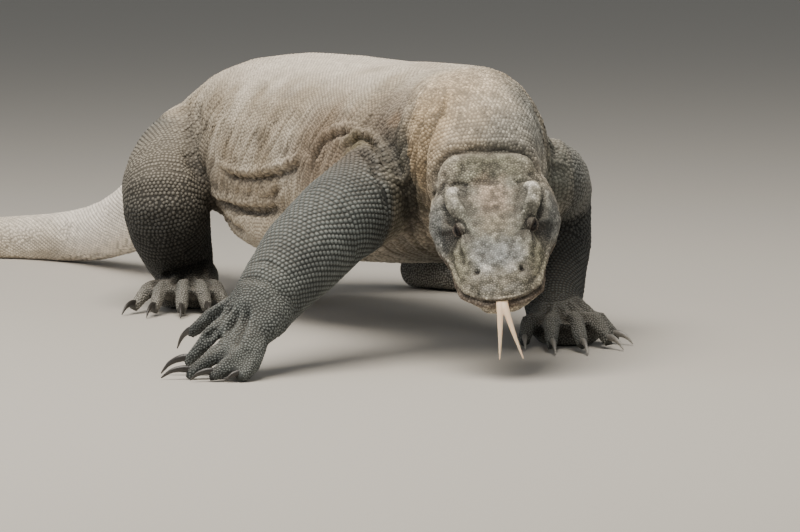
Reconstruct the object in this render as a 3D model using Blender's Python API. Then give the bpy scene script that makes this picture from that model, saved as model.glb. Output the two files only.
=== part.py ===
"""Life-size Komodo dragon in mid-stride: head low, forked tongue out, right hand reaching forward.

Units are metres and +Z is up. The animal faces -Y, so its left side is +X. The body is built in a
skeleton frame whose origin lies on the ground under the middle of the trunk, and an empty carries it
so that the world's origin is at the bottom centre of the bounding box.

The flesh is lofted length by length, melted into one hide, cut flat at its soles, and parted into
named lengths by thin cuts. Eyes, claws and tongue are separate solids that sit in sockets.
"""

import math

import bmesh
import bpy
from mathutils import Matrix, Vector

# ---- driving dimensions ------------------------------------------------------------------------
GAP = 0.0004  # clearance between solids that touch
CUT = 0.0008  # width of the cuts that part the hide
MELT_VOXEL = 0.0045  # grid on which the lofts melt into one hide
MELT_SMOOTHING = 6  # passes that round the joins between the lofts
HIDE_TRIANGLES = 3400
LOFT_SIDES = 24
ORIGIN = Vector((0.074, -0.344, 0.0))  # where the skeleton frame's origin lies in the world

HEAD_CENTRE = Vector((-0.091, -0.542, 0.214))  # on the head's axis, under the occiput
HEAD_YAW, HEAD_PITCH, HEAD_ROLL = (math.radians(angle) for angle in (-23.5, 39.0, -6.0))
EYE_RADIUS = 0.0095
EYE_PLACE = Vector((0.0420, -0.092, 0.0180))
SOCKET_PLACE = Vector((0.0595, -0.0940, 0.0175))
SOCKET_SIZES = (0.0130, 0.0150, 0.0105)
MOUTH_SLIT = 0.0012
TONGUE_SPREAD = 0.0030  # each half's axis, out from the middle of the root

DIGIT_RADII = (0.0140, 0.0128, 0.0106, 0.0086)  # in the palm, knuckle, middle joint, fleshy tip
CLAW_RADII = (0.0044, 0.0050, 0.0034, 0.0007)
CLAW_ROOT = 0.009  # how deep a claw is set in its toe
CLAW_HOOK = 0.005  # how far a claw's back arches over its chord

# ---- colours: name -> (linear colour, roughness) ------------------------------------------------
FINISHES = {
    "sand_hide": ((0.300, 0.250, 0.190), 0.75),
    "slate_hide": ((0.060, 0.062, 0.060), 0.70),
    "claw": ((0.020, 0.020, 0.022), 0.35),
    "eye": ((0.030, 0.018, 0.010), 0.10),
    "tongue": ((0.620, 0.420, 0.310), 0.40),
}

# ---- flesh: rows of (x, y, z, half width, rise, drop) along each length --------------------------
# Rise and drop are how far the flesh reaches above and below the row's point.
SPINE = [
    (0.000, 0.470, 0.175, 0.060, 0.060, 0.055),
    (0.000, 0.340, 0.200, 0.096, 0.092, 0.085),
    (0.000, 0.235, 0.210, 0.120, 0.112, 0.116),
    (0.000, 0.110, 0.212, 0.142, 0.122, 0.130),
    (-0.002, -0.020, 0.212, 0.146, 0.122, 0.132),
    (-0.010, -0.140, 0.212, 0.136, 0.122, 0.128),
    (-0.022, -0.250, 0.214, 0.126, 0.124, 0.120),
    (-0.032, -0.340, 0.218, 0.118, 0.122, 0.114),
    (-0.050, -0.405, 0.235, 0.096, 0.108, 0.106),
    (-0.073, -0.462, 0.246, 0.080, 0.090, 0.097),
    (-0.088, -0.510, 0.236, 0.072, 0.069, 0.088),
    (-0.098, -0.548, 0.212, 0.062, 0.046, 0.070),
]
TAIL = [
    (0.000, 0.340, 0.190, 0.080, 0.075, 0.070),
    (0.000, 0.460, 0.168, 0.060, 0.064, 0.062),
    (0.000, 0.600, 0.112, 0.050, 0.053, 0.055),
    (-0.004, 0.740, 0.064, 0.040, 0.043, 0.045),
    (-0.020, 0.860, 0.042, 0.032, 0.034, 0.041),
    (-0.075, 0.960, 0.034, 0.027, 0.028, 0.037),
    (-0.190, 1.030, 0.028, 0.023, 0.026, 0.031),
    (-0.315, 1.090, 0.023, 0.018, 0.021, 0.026),
    (-0.425, 1.175, 0.018, 0.014, 0.017, 0.021),
    (-0.505, 1.280, 0.014, 0.0110, 0.013, 0.017),
    (-0.550, 1.400, 0.010, 0.0080, 0.009, 0.013),
]
# The skull's rows are in the head's own frame: snout to -Y, crown to +Z.
SKULL = [
    (0, 0.030, -0.010, 0.056, 0.036, 0.048),
    (0, -0.002, -0.010, 0.064, 0.047, 0.050),
    (0, -0.036, -0.010, 0.073, 0.048, 0.050),
    (0, -0.062, -0.010, 0.0750, 0.046, 0.047),
    (0, -0.086, -0.010, 0.070, 0.043, 0.042),
    (0, -0.110, -0.010, 0.060, 0.039, 0.035),
    (0, -0.134, -0.010, 0.0530, 0.034, 0.031),
    (0, -0.156, -0.010, 0.0500, 0.030, 0.028),
    (0, -0.172, -0.010, 0.0450, 0.025, 0.025),
    (0, -0.181, -0.011, 0.0340, 0.018, 0.020),
]
# Ridges and cheeks that stand out of the skull, on the animal's left: (x, y, z, radius) rows.
HEAD_RELIEFS = [
    [(0.053, -0.040, 0.021, 0.0090), (0.048, -0.064, 0.028, 0.0105), (0.036, -0.092, 0.027, 0.0080)],
    [(0.034, -0.108, 0.021, 0.0060), (0.027, -0.134, 0.016, 0.0060), (0.024, -0.152, 0.012, 0.0090)],
    [(0.050, -0.010, -0.012, 0.0200), (0.054, -0.040, -0.018, 0.0215), (0.050, -0.075, -0.020, 0.0180)],
]
# Slack skin that hangs along the flanks, on the animal's left: (x, y, z, radius) rows.
FLANK = [
    (0.048, 0.265, 0.160, 0.026),
    (0.064, 0.195, 0.139, 0.030),
    (0.090, 0.105, 0.128, 0.037),
    (0.100, 0.000, 0.124, 0.040),
    (0.088, -0.120, 0.126, 0.038),
    (0.066, -0.210, 0.134, 0.034),
]
# Limb rows are (x, y, z, radius).
LIMBS = [
    [
        (-0.060, -0.318, 0.205, 0.056),
        (-0.125, -0.345, 0.196, 0.058),
        (-0.190, -0.392, 0.178, 0.055),
        (-0.245, -0.428, 0.156, 0.052),
        (-0.290, -0.452, 0.128, 0.050),
        (-0.330, -0.474, 0.100, 0.043),
        (-0.364, -0.492, 0.072, 0.037),
    ],
    [
        (0.040, -0.330, 0.203, 0.052),
        (0.095, -0.318, 0.195, 0.053),
        (0.132, -0.278, 0.184, 0.051),
        (0.156, -0.243, 0.158, 0.047),
        (0.150, -0.258, 0.118, 0.046),
        (0.133, -0.285, 0.080, 0.042),
        (0.115, -0.318, 0.048, 0.037),
        (0.105, -0.342, 0.028, 0.033),
    ],
    [
        (-0.035, 0.345, 0.198, 0.074),
        (-0.085, 0.312, 0.188, 0.069),
        (-0.135, 0.258, 0.170, 0.063),
        (-0.166, 0.213, 0.143, 0.058),
        (-0.158, 0.220, 0.105, 0.053),
        (-0.134, 0.246, 0.066, 0.045),
        (-0.112, 0.262, 0.034, 0.035),
    ],
    [
        (0.035, 0.345, 0.198, 0.074),
        (0.095, 0.325, 0.190, 0.070),
        (0.170, 0.290, 0.178, 0.062),
        (0.236, 0.250, 0.148, 0.054),
        (0.258, 0.252, 0.100, 0.048),
        (0.264, 0.272, 0.060, 0.042),
        (0.262, 0.290, 0.032, 0.034),
    ],
]
# The broad part of each hand and foot, from wrist or ankle to knuckles.
PALMS = [
    [
        (-0.350, -0.485, 0.082, 0.037, 0.033, 0.033),
        (-0.370, -0.499, 0.066, 0.040, 0.027, 0.027),
        (-0.384, -0.509, 0.054, 0.038, 0.019, 0.020),
    ],
    [
        (0.110, -0.338, 0.032, 0.035, 0.030, 0.032),
        (0.098, -0.375, 0.024, 0.042, 0.024, 0.026),
        (0.088, -0.408, 0.018, 0.043, 0.018, 0.020),
    ],
    [
        (-0.098, 0.278, 0.026, 0.034, 0.030, 0.028),
        (-0.126, 0.234, 0.022, 0.040, 0.026, 0.024),
        (-0.150, 0.195, 0.018, 0.041, 0.018, 0.020),
    ],
    [
        (0.258, 0.312, 0.026, 0.034, 0.028, 0.028),
        (0.278, 0.272, 0.022, 0.040, 0.024, 0.024),
        (0.296, 0.238, 0.018, 0.040, 0.018, 0.020),
    ],
]
# Digits I to V of each hand and foot: root in the palm, middle joint, fleshy tip, claw's tip.
DIGITS = {
    "right_hand": [
        ((-0.388, -0.535, 0.038), (-0.402, -0.551, 0.016), (-0.419, -0.560, 0.0060), (-0.438, -0.558, 0.002)),
        ((-0.388, -0.528, 0.046), (-0.420, -0.543, 0.024), (-0.446, -0.541, 0.0060), (-0.470, -0.533, 0.002)),
        ((-0.386, -0.515, 0.054), (-0.425, -0.518, 0.030), (-0.460, -0.509, 0.0060), (-0.490, -0.498, 0.002)),
        ((-0.380, -0.500, 0.066), (-0.420, -0.488, 0.048), (-0.446, -0.474, 0.0150), (-0.472, -0.458, 0.002)),
        ((-0.370, -0.482, 0.076), (-0.402, -0.452, 0.066), (-0.418, -0.426, 0.0430), (-0.424, -0.396, 0.022)),
    ],
    "left_hand": [
        ((0.072, -0.372, 0.022), (0.040, -0.392, 0.028), (0.022, -0.414, 0.0085), (0.010, -0.440, 0.002)),
        ((0.072, -0.398, 0.022), (0.046, -0.438, 0.031), (0.032, -0.466, 0.0085), (0.019, -0.498, 0.002)),
        ((0.086, -0.402, 0.022), (0.074, -0.450, 0.033), (0.066, -0.480, 0.0085), (0.055, -0.512, 0.002)),
        ((0.098, -0.396, 0.022), (0.110, -0.434, 0.031), (0.113, -0.460, 0.0085), (0.116, -0.490, 0.002)),
        ((0.108, -0.378, 0.022), (0.134, -0.398, 0.028), (0.146, -0.418, 0.0085), (0.157, -0.442, 0.002)),
    ],
    "right_foot": [
        ((-0.132, 0.205, 0.020), (-0.122, 0.150, 0.026), (-0.122, 0.124, 0.0085), (-0.124, 0.094, 0.002)),
        ((-0.140, 0.196, 0.020), (-0.150, 0.136, 0.029), (-0.157, 0.108, 0.0085), (-0.166, 0.076, 0.002)),
        ((-0.148, 0.192, 0.020), (-0.178, 0.136, 0.031), (-0.192, 0.108, 0.0085), (-0.208, 0.076, 0.002)),
        ((-0.156, 0.196, 0.020), (-0.202, 0.152, 0.030), (-0.222, 0.128, 0.0085), (-0.244, 0.102, 0.002)),
        ((-0.146, 0.215, 0.020), (-0.206, 0.184, 0.027), (-0.232, 0.168, 0.0085), (-0.258, 0.148, 0.002)),
    ],
    "left_foot": [
        ((0.278, 0.242, 0.020), (0.266, 0.190, 0.028), (0.256, 0.166, 0.0085), (0.246, 0.138, 0.002)),
        ((0.288, 0.232, 0.020), (0.296, 0.178, 0.030), (0.298, 0.150, 0.0085), (0.298, 0.118, 0.002)),
        ((0.302, 0.234, 0.020), (0.328, 0.184, 0.031), (0.340, 0.158, 0.0085), (0.354, 0.126, 0.002)),
        ((0.310, 0.244, 0.020), (0.358, 0.210, 0.030), (0.382, 0.192, 0.0085), (0.408, 0.172, 0.002)),
        ((0.286, 0.280, 0.020), (0.334, 0.286, 0.026), (0.360, 0.282, 0.0085), (0.390, 0.278, 0.002)),
    ],
}

# ---- the tongue: base in the mouth, fork, and the two tips, in the skeleton frame ----------------
TONGUE_BASE = [(0, -0.125, -0.0190), (0, -0.170, -0.0170), (0, -0.192, -0.0200)]
TONGUE_SECTIONS = [(0.0045, 0.0019), (0.0045, 0.0019), (0.0042, 0.0018), (0.0026, 0.0015), (0.0009, 0.0007)]
TONGUE_TIPS = [(-0.143, -0.716, 0.028), (-0.166, -0.703, 0.027)]

# ---- cuts that part the hide: (centre, normal, half width, half height, corners) ------------------
ROUND, SQUARE = 24, 4
CUTS = [
    ((-0.060, -0.457, 0.243), (0.14, -1, 0), 0.126, 0.135, ROUND),
    ((-0.093, -0.548, 0.213), (-0.42, -0.83, -0.36), 0.115, 0.115, ROUND),
    ((0.000, 0.015, 0.212), (0, 1, 0.02), 0.200, 0.180, ROUND),
    ((0.000, 0.432, 0.180), (0, 1, -0.25), 0.110, 0.110, ROUND),
    ((-0.002, 0.690, 0.084), (0, 0.86, -0.45), 0.070, 0.075, ROUND),
    ((-0.048, 0.925, 0.036), (-0.45, 0.90, 0), 0.050, 0.060, ROUND),
    ((-0.315, 1.090, 0.023), (-0.80, 0.60, 0), 0.040, 0.050, ROUND),
    ((-0.166, -0.372, 0.190), (-1, 0, 0), 0.100, 0.090, ROUND),
    ((-0.250, -0.432, 0.153), (-0.76, -0.48, -0.40), 0.080, 0.080, ROUND),
    ((-0.352, -0.486, 0.082), (-0.74, -0.38, -0.56), 0.060, 0.060, ROUND),
    ((0.156, -0.253, 0.136), (0.15, 0.15, -1), 0.060, 0.062, ROUND),
    ((0.119, -0.297, 0.208), (1, -0.08, 0), 0.106, 0.090, SQUARE),
    ((0.114, -0.320, 0.046), (-0.20, -0.35, -1), 0.055, 0.055, ROUND),
    ((-0.163, 0.218, 0.124), (-0.10, -0.30, -1), 0.080, 0.080, ROUND),
    ((-0.124, 0.252, 0.200), (-0.94, 0.23, -0.25), 0.154, 0.122, SQUARE),
    ((-0.126, 0.250, 0.055), (-0.05, -0.10, -1), 0.086, 0.086, ROUND),
    ((0.118, 0.312, 0.198), (0.95, 0.20, -0.20), 0.115, 0.100, ROUND),
    ((0.244, 0.250, 0.128), (0.50, 0, -0.90), 0.076, 0.076, ROUND),
    ((0.262, 0.284, 0.054), (0, -0.12, -1), 0.078, 0.080, ROUND),
]
# The mouth: (y, z) in the head's frame, from before the snout to the corner and down the throat.
MOUTH = [
    (-0.230, -0.0160),
    (-0.176, -0.0165),
    (-0.140, -0.0200),
    (-0.100, -0.0170),
    (-0.060, -0.0280),
    (-0.044, -0.1200),
]
MOUTH_HALF_WIDTH = 0.110

# ---- names: a point near the middle of each length of hide ----------------------------------------
LABELS = {
    "head": (-0.115, -0.615, 0.180),
    "lower_jaw": (-0.130, -0.630, 0.115),
    "neck": (-0.050, -0.485, 0.245),
    "trunk_front": (0.000, -0.220, 0.215),
    "trunk_rear": (0.000, 0.200, 0.212),
    "tail_1": (0.000, 0.540, 0.135),
    "tail_2": (-0.010, 0.800, 0.050),
    "tail_3": (-0.170, 1.020, 0.030),
    "tail_4": (-0.440, 1.200, 0.018),
    "right_upper_arm": (-0.185, -0.390, 0.178),
    "right_forearm": (-0.300, -0.458, 0.120),
    "right_hand": (-0.400, -0.510, 0.045),
    "left_upper_arm": (0.165, -0.280, 0.180),
    "left_forearm": (0.150, -0.290, 0.090),
    "left_hand": (0.090, -0.400, 0.020),
    "right_thigh": (-0.150, 0.245, 0.175),
    "right_shank": (-0.145, 0.232, 0.085),
    "right_foot": (-0.160, 0.228, 0.022),
    "left_thigh": (0.185, 0.275, 0.170),
    "left_shank": (0.242, 0.268, 0.085),
    "left_foot": (0.270, 0.250, 0.022),
}
SANDY = ("trunk", "tail", "neck", "head", "lower_jaw")


def head_frame():
    """Matrix from the head's own frame to the skeleton frame."""
    turn = Matrix.Rotation(HEAD_YAW, 4, "Z")
    turn @= Matrix.Rotation(HEAD_PITCH, 4, "X")
    turn @= Matrix.Rotation(HEAD_ROLL, 4, "Y")
    return Matrix.Translation(HEAD_CENTRE) @ turn


HEAD = head_frame()


# ---- mesh helpers ---------------------------------------------------------------------------------
def smooth_rows(rows, steps):
    """Rows on a Catmull-Rom spline through the given rows, with steps between each two."""
    padded = [rows[0], *rows, rows[-1]]
    found = []
    for quad in zip(padded, padded[1:], padded[2:], padded[3:]):
        for step in range(steps):
            t = step / steps
            weights = (
                (-t + 2 * t**2 - t**3) / 2,
                (2 - 5 * t**2 + 3 * t**3) / 2,
                (t + 4 * t**2 - 3 * t**3) / 2,
                (-(t**2) + t**3) / 2,
            )
            found.append(tuple(sum(w * v for w, v in zip(weights, column)) for column in zip(*quad)))
    found.append(tuple(float(value) for value in rows[-1]))
    return found


def ring_points(row, side, lift, sides, power, pinch):
    """Points of a superellipse round a row; pinch narrows its top."""
    x, y, z, half_width, rise, drop = row
    points = []
    for index in range(sides):
        angle = 2 * math.pi * index / sides
        across = math.copysign(abs(math.cos(angle)) ** (2 / power), math.cos(angle))
        height = math.copysign(abs(math.sin(angle)) ** (2 / power), math.sin(angle))
        across *= 1 - pinch * max(height, 0.0)
        points.append(Vector((x, y, z)) + side * across * half_width + lift * height * (rise if height > 0 else drop))
    return points


def loft(mesh, rows, frame=None, sides=LOFT_SIDES, power=2.0, pinch=0.0):
    """Add a closed tube through (x, y, z, half width, rise, drop) rows, with its own box of faces."""
    centres = [Vector(row[:3]) for row in rows]
    side = None
    rings = []
    for index, row in enumerate(rows):
        along = (centres[min(index + 1, len(rows) - 1)] - centres[max(index - 1, 0)]).normalized()
        if side is None:
            side = along.cross(Vector((0, 0, 1))).normalized()
        side = (side - along * side.dot(along)).normalized()
        points = ring_points(row, side, side.cross(along).normalized(), sides, power, pinch)
        rings.append([mesh.verts.new(frame @ point if frame else point) for point in points])
    for ring, following in zip(rings, rings[1:]):
        for index in range(sides):
            after = (index + 1) % sides
            mesh.faces.new((ring[index], ring[after], following[after], following[index]))
    mesh.faces.new(tuple(reversed(rings[0])))
    mesh.faces.new(rings[-1])


def round_ended(rows):
    """The rows with a dome of smaller rings past each end."""
    domed = []
    for row, inner, outward in ((rows[0], rows[1], True), (rows[-1], rows[-2], False)):
        away = (Vector(row[:3]) - Vector(inner[:3])).normalized()
        reach = min(row[3:])
        caps = []
        for angle in (math.radians(35), math.radians(65)):
            centre = Vector(row[:3]) + away * reach * math.sin(angle)
            caps.append((*centre, *(size * math.cos(angle) for size in row[3:])))
        domed.append(list(reversed(caps)) if outward else caps)
    return domed[0] + list(rows) + domed[1]


def round_rows(rows):
    """(x, y, z, radius) rows as loft rows."""
    return [(x, y, z, radius, radius, radius) for x, y, z, radius in rows]


def make_object(name, mesh, finish):
    """Turn a bmesh into an object with outward faces and one of the finishes."""
    bmesh.ops.recalc_face_normals(mesh, faces=mesh.faces)
    data = bpy.data.meshes.new(name)
    mesh.to_mesh(data)
    mesh.free()
    body = bpy.data.objects.new(name, data)
    bpy.context.scene.collection.objects.link(body)
    body.data.materials.append(bpy.data.materials[finish])
    return body


def bake_modifiers(body):
    """Replace an object's mesh by its evaluated mesh and drop its modifiers."""
    evaluated = body.evaluated_get(bpy.context.evaluated_depsgraph_get())
    data = bpy.data.meshes.new_from_object(evaluated)
    body.modifiers.clear()
    body.data = data


def make_finishes():
    """One Principled material for each finish."""
    for name, (colour, roughness) in FINISHES.items():
        material = bpy.data.materials.new(name)
        material.use_nodes = True
        shader = material.node_tree.nodes["Principled BSDF"]
        shader.inputs["Base Color"].default_value = (*colour, 1.0)
        shader.inputs["Roughness"].default_value = roughness
        shader.inputs["Metallic"].default_value = 0.0


# ---- the hide ---------------------------------------------------------------------------------------
def add_head(mesh):
    """Skull with its brow ridges, canthal ridges and jaw muscles."""
    loft(mesh, round_ended(smooth_rows(SKULL, 4)), frame=HEAD, power=2.5, pinch=0.16)
    for relief in HEAD_RELIEFS:
        for mirror in (1, -1):
            rows = [(x * mirror, y, z, radius) for x, y, z, radius in relief]
            loft(mesh, round_ended(smooth_rows(round_rows(rows), 4)), frame=HEAD, sides=12)


def add_digits(mesh):
    """Fleshy part of every finger and toe."""
    for digits in DIGITS.values():
        for root, middle, tip, _ in digits:
            knuckle = Vector(root).lerp(Vector(middle), 0.45) + Vector((0, 0, 0.002))
            points = (root, knuckle, middle, tip)
            rows = [(*point, radius) for point, radius in zip(points, DIGIT_RADII)]
            loft(mesh, round_ended(smooth_rows(round_rows(rows), 4)), sides=14)


def drop_specks(hide):
    """Delete the specks of a few points that thinning and cutting can leave behind."""
    mesh = bmesh.new()
    mesh.from_mesh(hide.data)
    waiting = set(mesh.verts)
    while waiting:
        island = {waiting.pop()}
        edge_of_search = list(island)
        while edge_of_search:
            vertex = edge_of_search.pop()
            for edge in vertex.link_edges:
                other = edge.other_vert(vertex)
                if other not in island:
                    island.add(other)
                    edge_of_search.append(other)
        waiting -= island
        if len(island) < 20:
            bmesh.ops.delete(mesh, geom=list(island), context="VERTS")
    mesh.to_mesh(hide.data)
    mesh.free()


def make_hide():
    """All the flesh melted into one closed skin."""
    mesh = bmesh.new()
    loft(mesh, round_ended(smooth_rows(SPINE, 4)), power=2.3)
    loft(mesh, round_ended(smooth_rows(TAIL, 4)))
    for mirror in (1, -1):
        slack = [(x * mirror, y, z, radius) for x, y, z, radius in FLANK]
        loft(mesh, round_ended(smooth_rows(round_rows(slack), 4)))
    for limb in LIMBS:
        loft(mesh, round_ended(smooth_rows(round_rows(limb), 4)))
    for palm in PALMS:
        loft(mesh, round_ended(smooth_rows(palm, 4)), power=2.4)
    add_head(mesh)
    add_digits(mesh)
    hide = make_object("hide", mesh, "sand_hide")
    melt = hide.modifiers.new("melt", "REMESH")
    melt.mode = "VOXEL"
    melt.voxel_size = MELT_VOXEL
    soften = hide.modifiers.new("soften", "SMOOTH")
    soften.factor = 0.5
    soften.iterations = MELT_SMOOTHING
    bake_modifiers(hide)
    thin = hide.modifiers.new("thin", "DECIMATE")
    thin.ratio = HIDE_TRIANGLES / (2 * len(hide.data.polygons))
    bake_modifiers(hide)
    drop_specks(hide)
    return hide


# ---- eyes, claws and tongue ---------------------------------------------------------------------------
def eye_solid(name, mirror, grow=0.0):
    """One eyeball."""
    mesh = bmesh.new()
    place = HEAD @ Matrix.Translation((EYE_PLACE.x * mirror, EYE_PLACE.y, EYE_PLACE.z))
    bmesh.ops.create_icosphere(mesh, subdivisions=2, radius=EYE_RADIUS + grow, matrix=place)
    return make_object(name, mesh, "eye")


def socket_cutter(mirror):
    """The hollow between brow and cheek that opens onto an eye."""
    mesh = bmesh.new()
    x, y, z = SOCKET_PLACE
    place = HEAD @ Matrix.Translation((x * mirror, y, z)) @ Matrix.Diagonal((*SOCKET_SIZES, 1.0))
    bmesh.ops.create_icosphere(mesh, subdivisions=2, radius=1.0, matrix=place)
    return make_object("cut", mesh, "slate_hide")


def claw_rows(middle, tip, point, grow):
    """Rows of a claw that leaves the toe's tip along the toe and hooks down to its point."""
    forward = (tip - middle).normalized()
    root = tip - forward * (CLAW_ROOT + grow)
    chord = point - tip
    bend = tip + chord * 0.55 + Vector((0, 0, CLAW_HOOK))
    radii = [radius + grow for radius in CLAW_RADII]
    return round_rows([(*place, radius) for place, radius in zip((root, tip, bend, point), radii)])


def claw_solid(name, digit, grow=0.0):
    """One claw, from its root inside the toe to its point."""
    mesh = bmesh.new()
    _, middle, tip, point = (Vector(place) for place in digit)
    loft(mesh, claw_rows(middle, tip, point, grow), sides=6)
    return make_object(name, mesh, "claw")


def tongue_half(name, shift, tip, grow):
    """Half of the tongue's root and the tine that leaves it."""
    spread = HEAD.to_3x3() @ Vector((TONGUE_SPREAD * shift, 0, 0))
    root = [HEAD @ Vector(place) + spread for place in TONGUE_BASE]
    root[0] -= (root[1] - root[0]).normalized() * grow
    middle = root[-1].lerp(Vector(tip), 0.45) + HEAD.to_3x3() @ Vector((0, -0.004, 0))
    rows = []
    for place, (half_width, half_thick) in zip((*root, middle, Vector(tip)), TONGUE_SECTIONS):
        rows.append((*place, half_width + grow, half_thick + grow, half_thick + grow))
    mesh = bmesh.new()
    loft(mesh, smooth_rows(rows, 2), sides=8)
    return make_object(name, mesh, "tongue")


def tongue_solid(name, grow=0.0):
    """Forked tongue: a flat root in the mouth and two tines that hang from it."""
    tongue, other = (tongue_half(name, shift, tip, grow) for shift, tip in zip((1, -1), TONGUE_TIPS))
    join = tongue.modifiers.new("join", "BOOLEAN")
    join.operation = "UNION"
    join.solver = "EXACT"
    join.object = other
    bake_modifiers(tongue)
    bpy.data.objects.remove(other)
    tongue.name = name
    return tongue


# ---- cutting the hide -----------------------------------------------------------------------------------
def plate_cutter(centre, normal, half_width, half_height, corners):
    """A thin oval or square plate across a limb; its half height is measured near the vertical."""
    normal = Vector(normal).normalized()
    upward = Vector((0, 0, 1)) if abs(normal.z) < 0.8 else Vector((0, 1, 0))
    height = (upward - normal * upward.dot(normal)).normalized()
    width = height.cross(normal)
    reach = math.sqrt(2) if corners == SQUARE else 1.0
    mesh = bmesh.new()
    rims = []
    for face in (-CUT / 2, CUT / 2):
        rim = []
        for index in range(corners):
            angle = 2 * math.pi * (index + 0.5) / corners
            spread = width * math.cos(angle) * half_width + height * math.sin(angle) * half_height
            rim.append(mesh.verts.new(Vector(centre) + normal * face + spread * reach))
        rims.append(rim)
    for index in range(corners):
        after = (index + 1) % corners
        mesh.faces.new((rims[0][index], rims[0][after], rims[1][after], rims[1][index]))
    mesh.faces.new(tuple(reversed(rims[0])))
    mesh.faces.new(rims[1])
    return make_object("cut", mesh, "sand_hide")


def mouth_cutter():
    """A thin bent plate along the mouth and down the throat, which frees the lower jaw."""
    mesh = bmesh.new()
    outline = []
    for shift in (MOUTH_SLIT / 2, -MOUTH_SLIT / 2):
        places = MOUTH if shift > 0 else reversed(MOUTH)
        outline += [(y + shift, z + shift) for y, z in places]
    sides = []
    for x in (-MOUTH_HALF_WIDTH, MOUTH_HALF_WIDTH):
        sides.append([mesh.verts.new(HEAD @ Vector((x, y, z))) for y, z in outline])
    count = len(outline)
    for index in range(count):
        after = (index + 1) % count
        mesh.faces.new((sides[0][index], sides[0][after], sides[1][after], sides[1][index]))
    mesh.faces.new(tuple(reversed(sides[0])))
    mesh.faces.new(sides[1])
    return make_object("cut", mesh, "sand_hide")


def floor_cutter():
    """A slab below the floor that leaves flats under the soles and the tail."""
    mesh = bmesh.new()
    slab = Matrix.Translation((0, 0.3, -0.1)) @ Matrix.Diagonal((3.0, 4.0, 0.2, 1.0))
    bmesh.ops.create_cube(mesh, size=1.0, matrix=slab)
    return make_object("cut", mesh, "sand_hide")


def subtract(body, cutter):
    """Cut one object out of another and remove the cutter."""
    cut = body.modifiers.new("cut", "BOOLEAN")
    cut.operation = "DIFFERENCE"
    cut.solver = "EXACT"
    cut.object = cutter
    bake_modifiers(body)
    bpy.data.objects.remove(cutter)


def part_hide(hide):
    """Separate the cut hide into its loose lengths and name each by its nearest label."""
    bpy.ops.object.select_all(action="DESELECT")
    hide.select_set(True)
    bpy.context.view_layer.objects.active = hide
    bpy.ops.mesh.separate(type="LOOSE")
    lengths = list(bpy.context.selected_objects)
    found = {}
    for length in lengths:
        corners = [vertex.co for vertex in length.data.vertices]
        middle = sum(corners, Vector()) / len(corners)
        name = min(LABELS, key=lambda label: (Vector(LABELS[label]) - middle).length)
        found.setdefault(name, []).append(length)
    for name, pieces in found.items():
        pieces.sort(key=lambda piece: -len(piece.data.vertices))
        for index, piece in enumerate(pieces):
            piece.name = name if index == 0 else f"{name}_extra_{index}"
            sandy = name.startswith(SANDY)
            piece.data.materials.clear()
            piece.data.materials.append(bpy.data.materials["sand_hide" if sandy else "slate_hide"])


def build():
    """Model the whole animal."""
    for leftover in list(bpy.data.objects):
        bpy.data.objects.remove(leftover)
    make_finishes()
    hide = make_hide()
    subtract(hide, floor_cutter())
    for mirror, side in ((1, "left"), (-1, "right")):
        subtract(hide, socket_cutter(mirror))
        subtract(hide, eye_solid("cut", mirror, grow=GAP))
        eye_solid(f"{side}_eye", mirror)
    subtract(hide, tongue_solid("cut", grow=GAP))
    tongue_solid("tongue")
    for limb, digits in DIGITS.items():
        for number, digit in enumerate(digits, start=1):
            subtract(hide, claw_solid("cut", digit, grow=GAP))
            claw_solid(f"{limb}_claw_{number}", digit)
    for cut in CUTS:
        subtract(hide, plate_cutter(*cut))
    subtract(hide, mouth_cutter())
    drop_specks(hide)
    part_hide(hide)
    root = bpy.data.objects.new("komodo_dragon", None)
    bpy.context.scene.collection.objects.link(root)
    root.location = ORIGIN
    for body in list(bpy.data.objects):
        if body.type == "MESH":
            body.parent = root


build()
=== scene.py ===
"""Museum model of a Komodo dragon in mid-stride: one scaled hide, horn claws, wet eyes, forked tongue.

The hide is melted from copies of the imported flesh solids, sculpted with the folds of the living
animal, painted, and covered with beaded scales that are laid in rows round the trunk, tail and limbs
and scattered finely over the head, hands and feet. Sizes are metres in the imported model's frame,
but for the tables that are turned from millimetres by metres().
"""

import itertools
import logging
import math
from collections.abc import Iterator
from contextlib import contextmanager
from dataclasses import dataclass, field
from enum import Enum

import bmesh
import bpy
import numpy as np
from bpy.types import ID, Material, Mesh, Node, NodeSocket, NodeTree, Object
from mathutils import Matrix, Vector
from mathutils.bvhtree import BVHTree
from mathutils.geometry import barycentric_transform
from mathutils.kdtree import KDTree


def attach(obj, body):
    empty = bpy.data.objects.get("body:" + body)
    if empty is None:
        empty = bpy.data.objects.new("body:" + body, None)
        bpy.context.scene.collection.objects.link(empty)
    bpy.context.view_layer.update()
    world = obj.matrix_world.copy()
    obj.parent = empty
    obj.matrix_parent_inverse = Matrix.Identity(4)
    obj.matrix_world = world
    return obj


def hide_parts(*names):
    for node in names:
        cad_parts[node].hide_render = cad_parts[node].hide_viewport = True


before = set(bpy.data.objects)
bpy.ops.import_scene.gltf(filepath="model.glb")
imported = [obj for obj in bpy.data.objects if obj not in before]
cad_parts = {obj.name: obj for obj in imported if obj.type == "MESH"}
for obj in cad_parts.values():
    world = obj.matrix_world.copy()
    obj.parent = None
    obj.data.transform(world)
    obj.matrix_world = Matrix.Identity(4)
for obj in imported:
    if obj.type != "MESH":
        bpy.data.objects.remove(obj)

Array = np.ndarray
Place = tuple[float, float, float]
Path = tuple[Place, ...]
log = logging.getLogger("komodo_dragon")
# it sets the painted shade of the skin between the scales, as well as its roughness
BARE_SKIN = 0.30  # how light the trunk's skin between scales is, from 0 for a furrow to 1 for a crown
HEAD = (
    Matrix.Translation((-0.017, -0.886, 0.214))
    @ Matrix.Rotation(math.radians(-23.5), 4, "Z")
    @ Matrix.Rotation(math.radians(39.0), 4, "X")
    @ Matrix.Rotation(math.radians(-6.0), 4, "Y")
)  # from the head's own frame, snout to -Y and crown to +Z, to the model's


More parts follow.
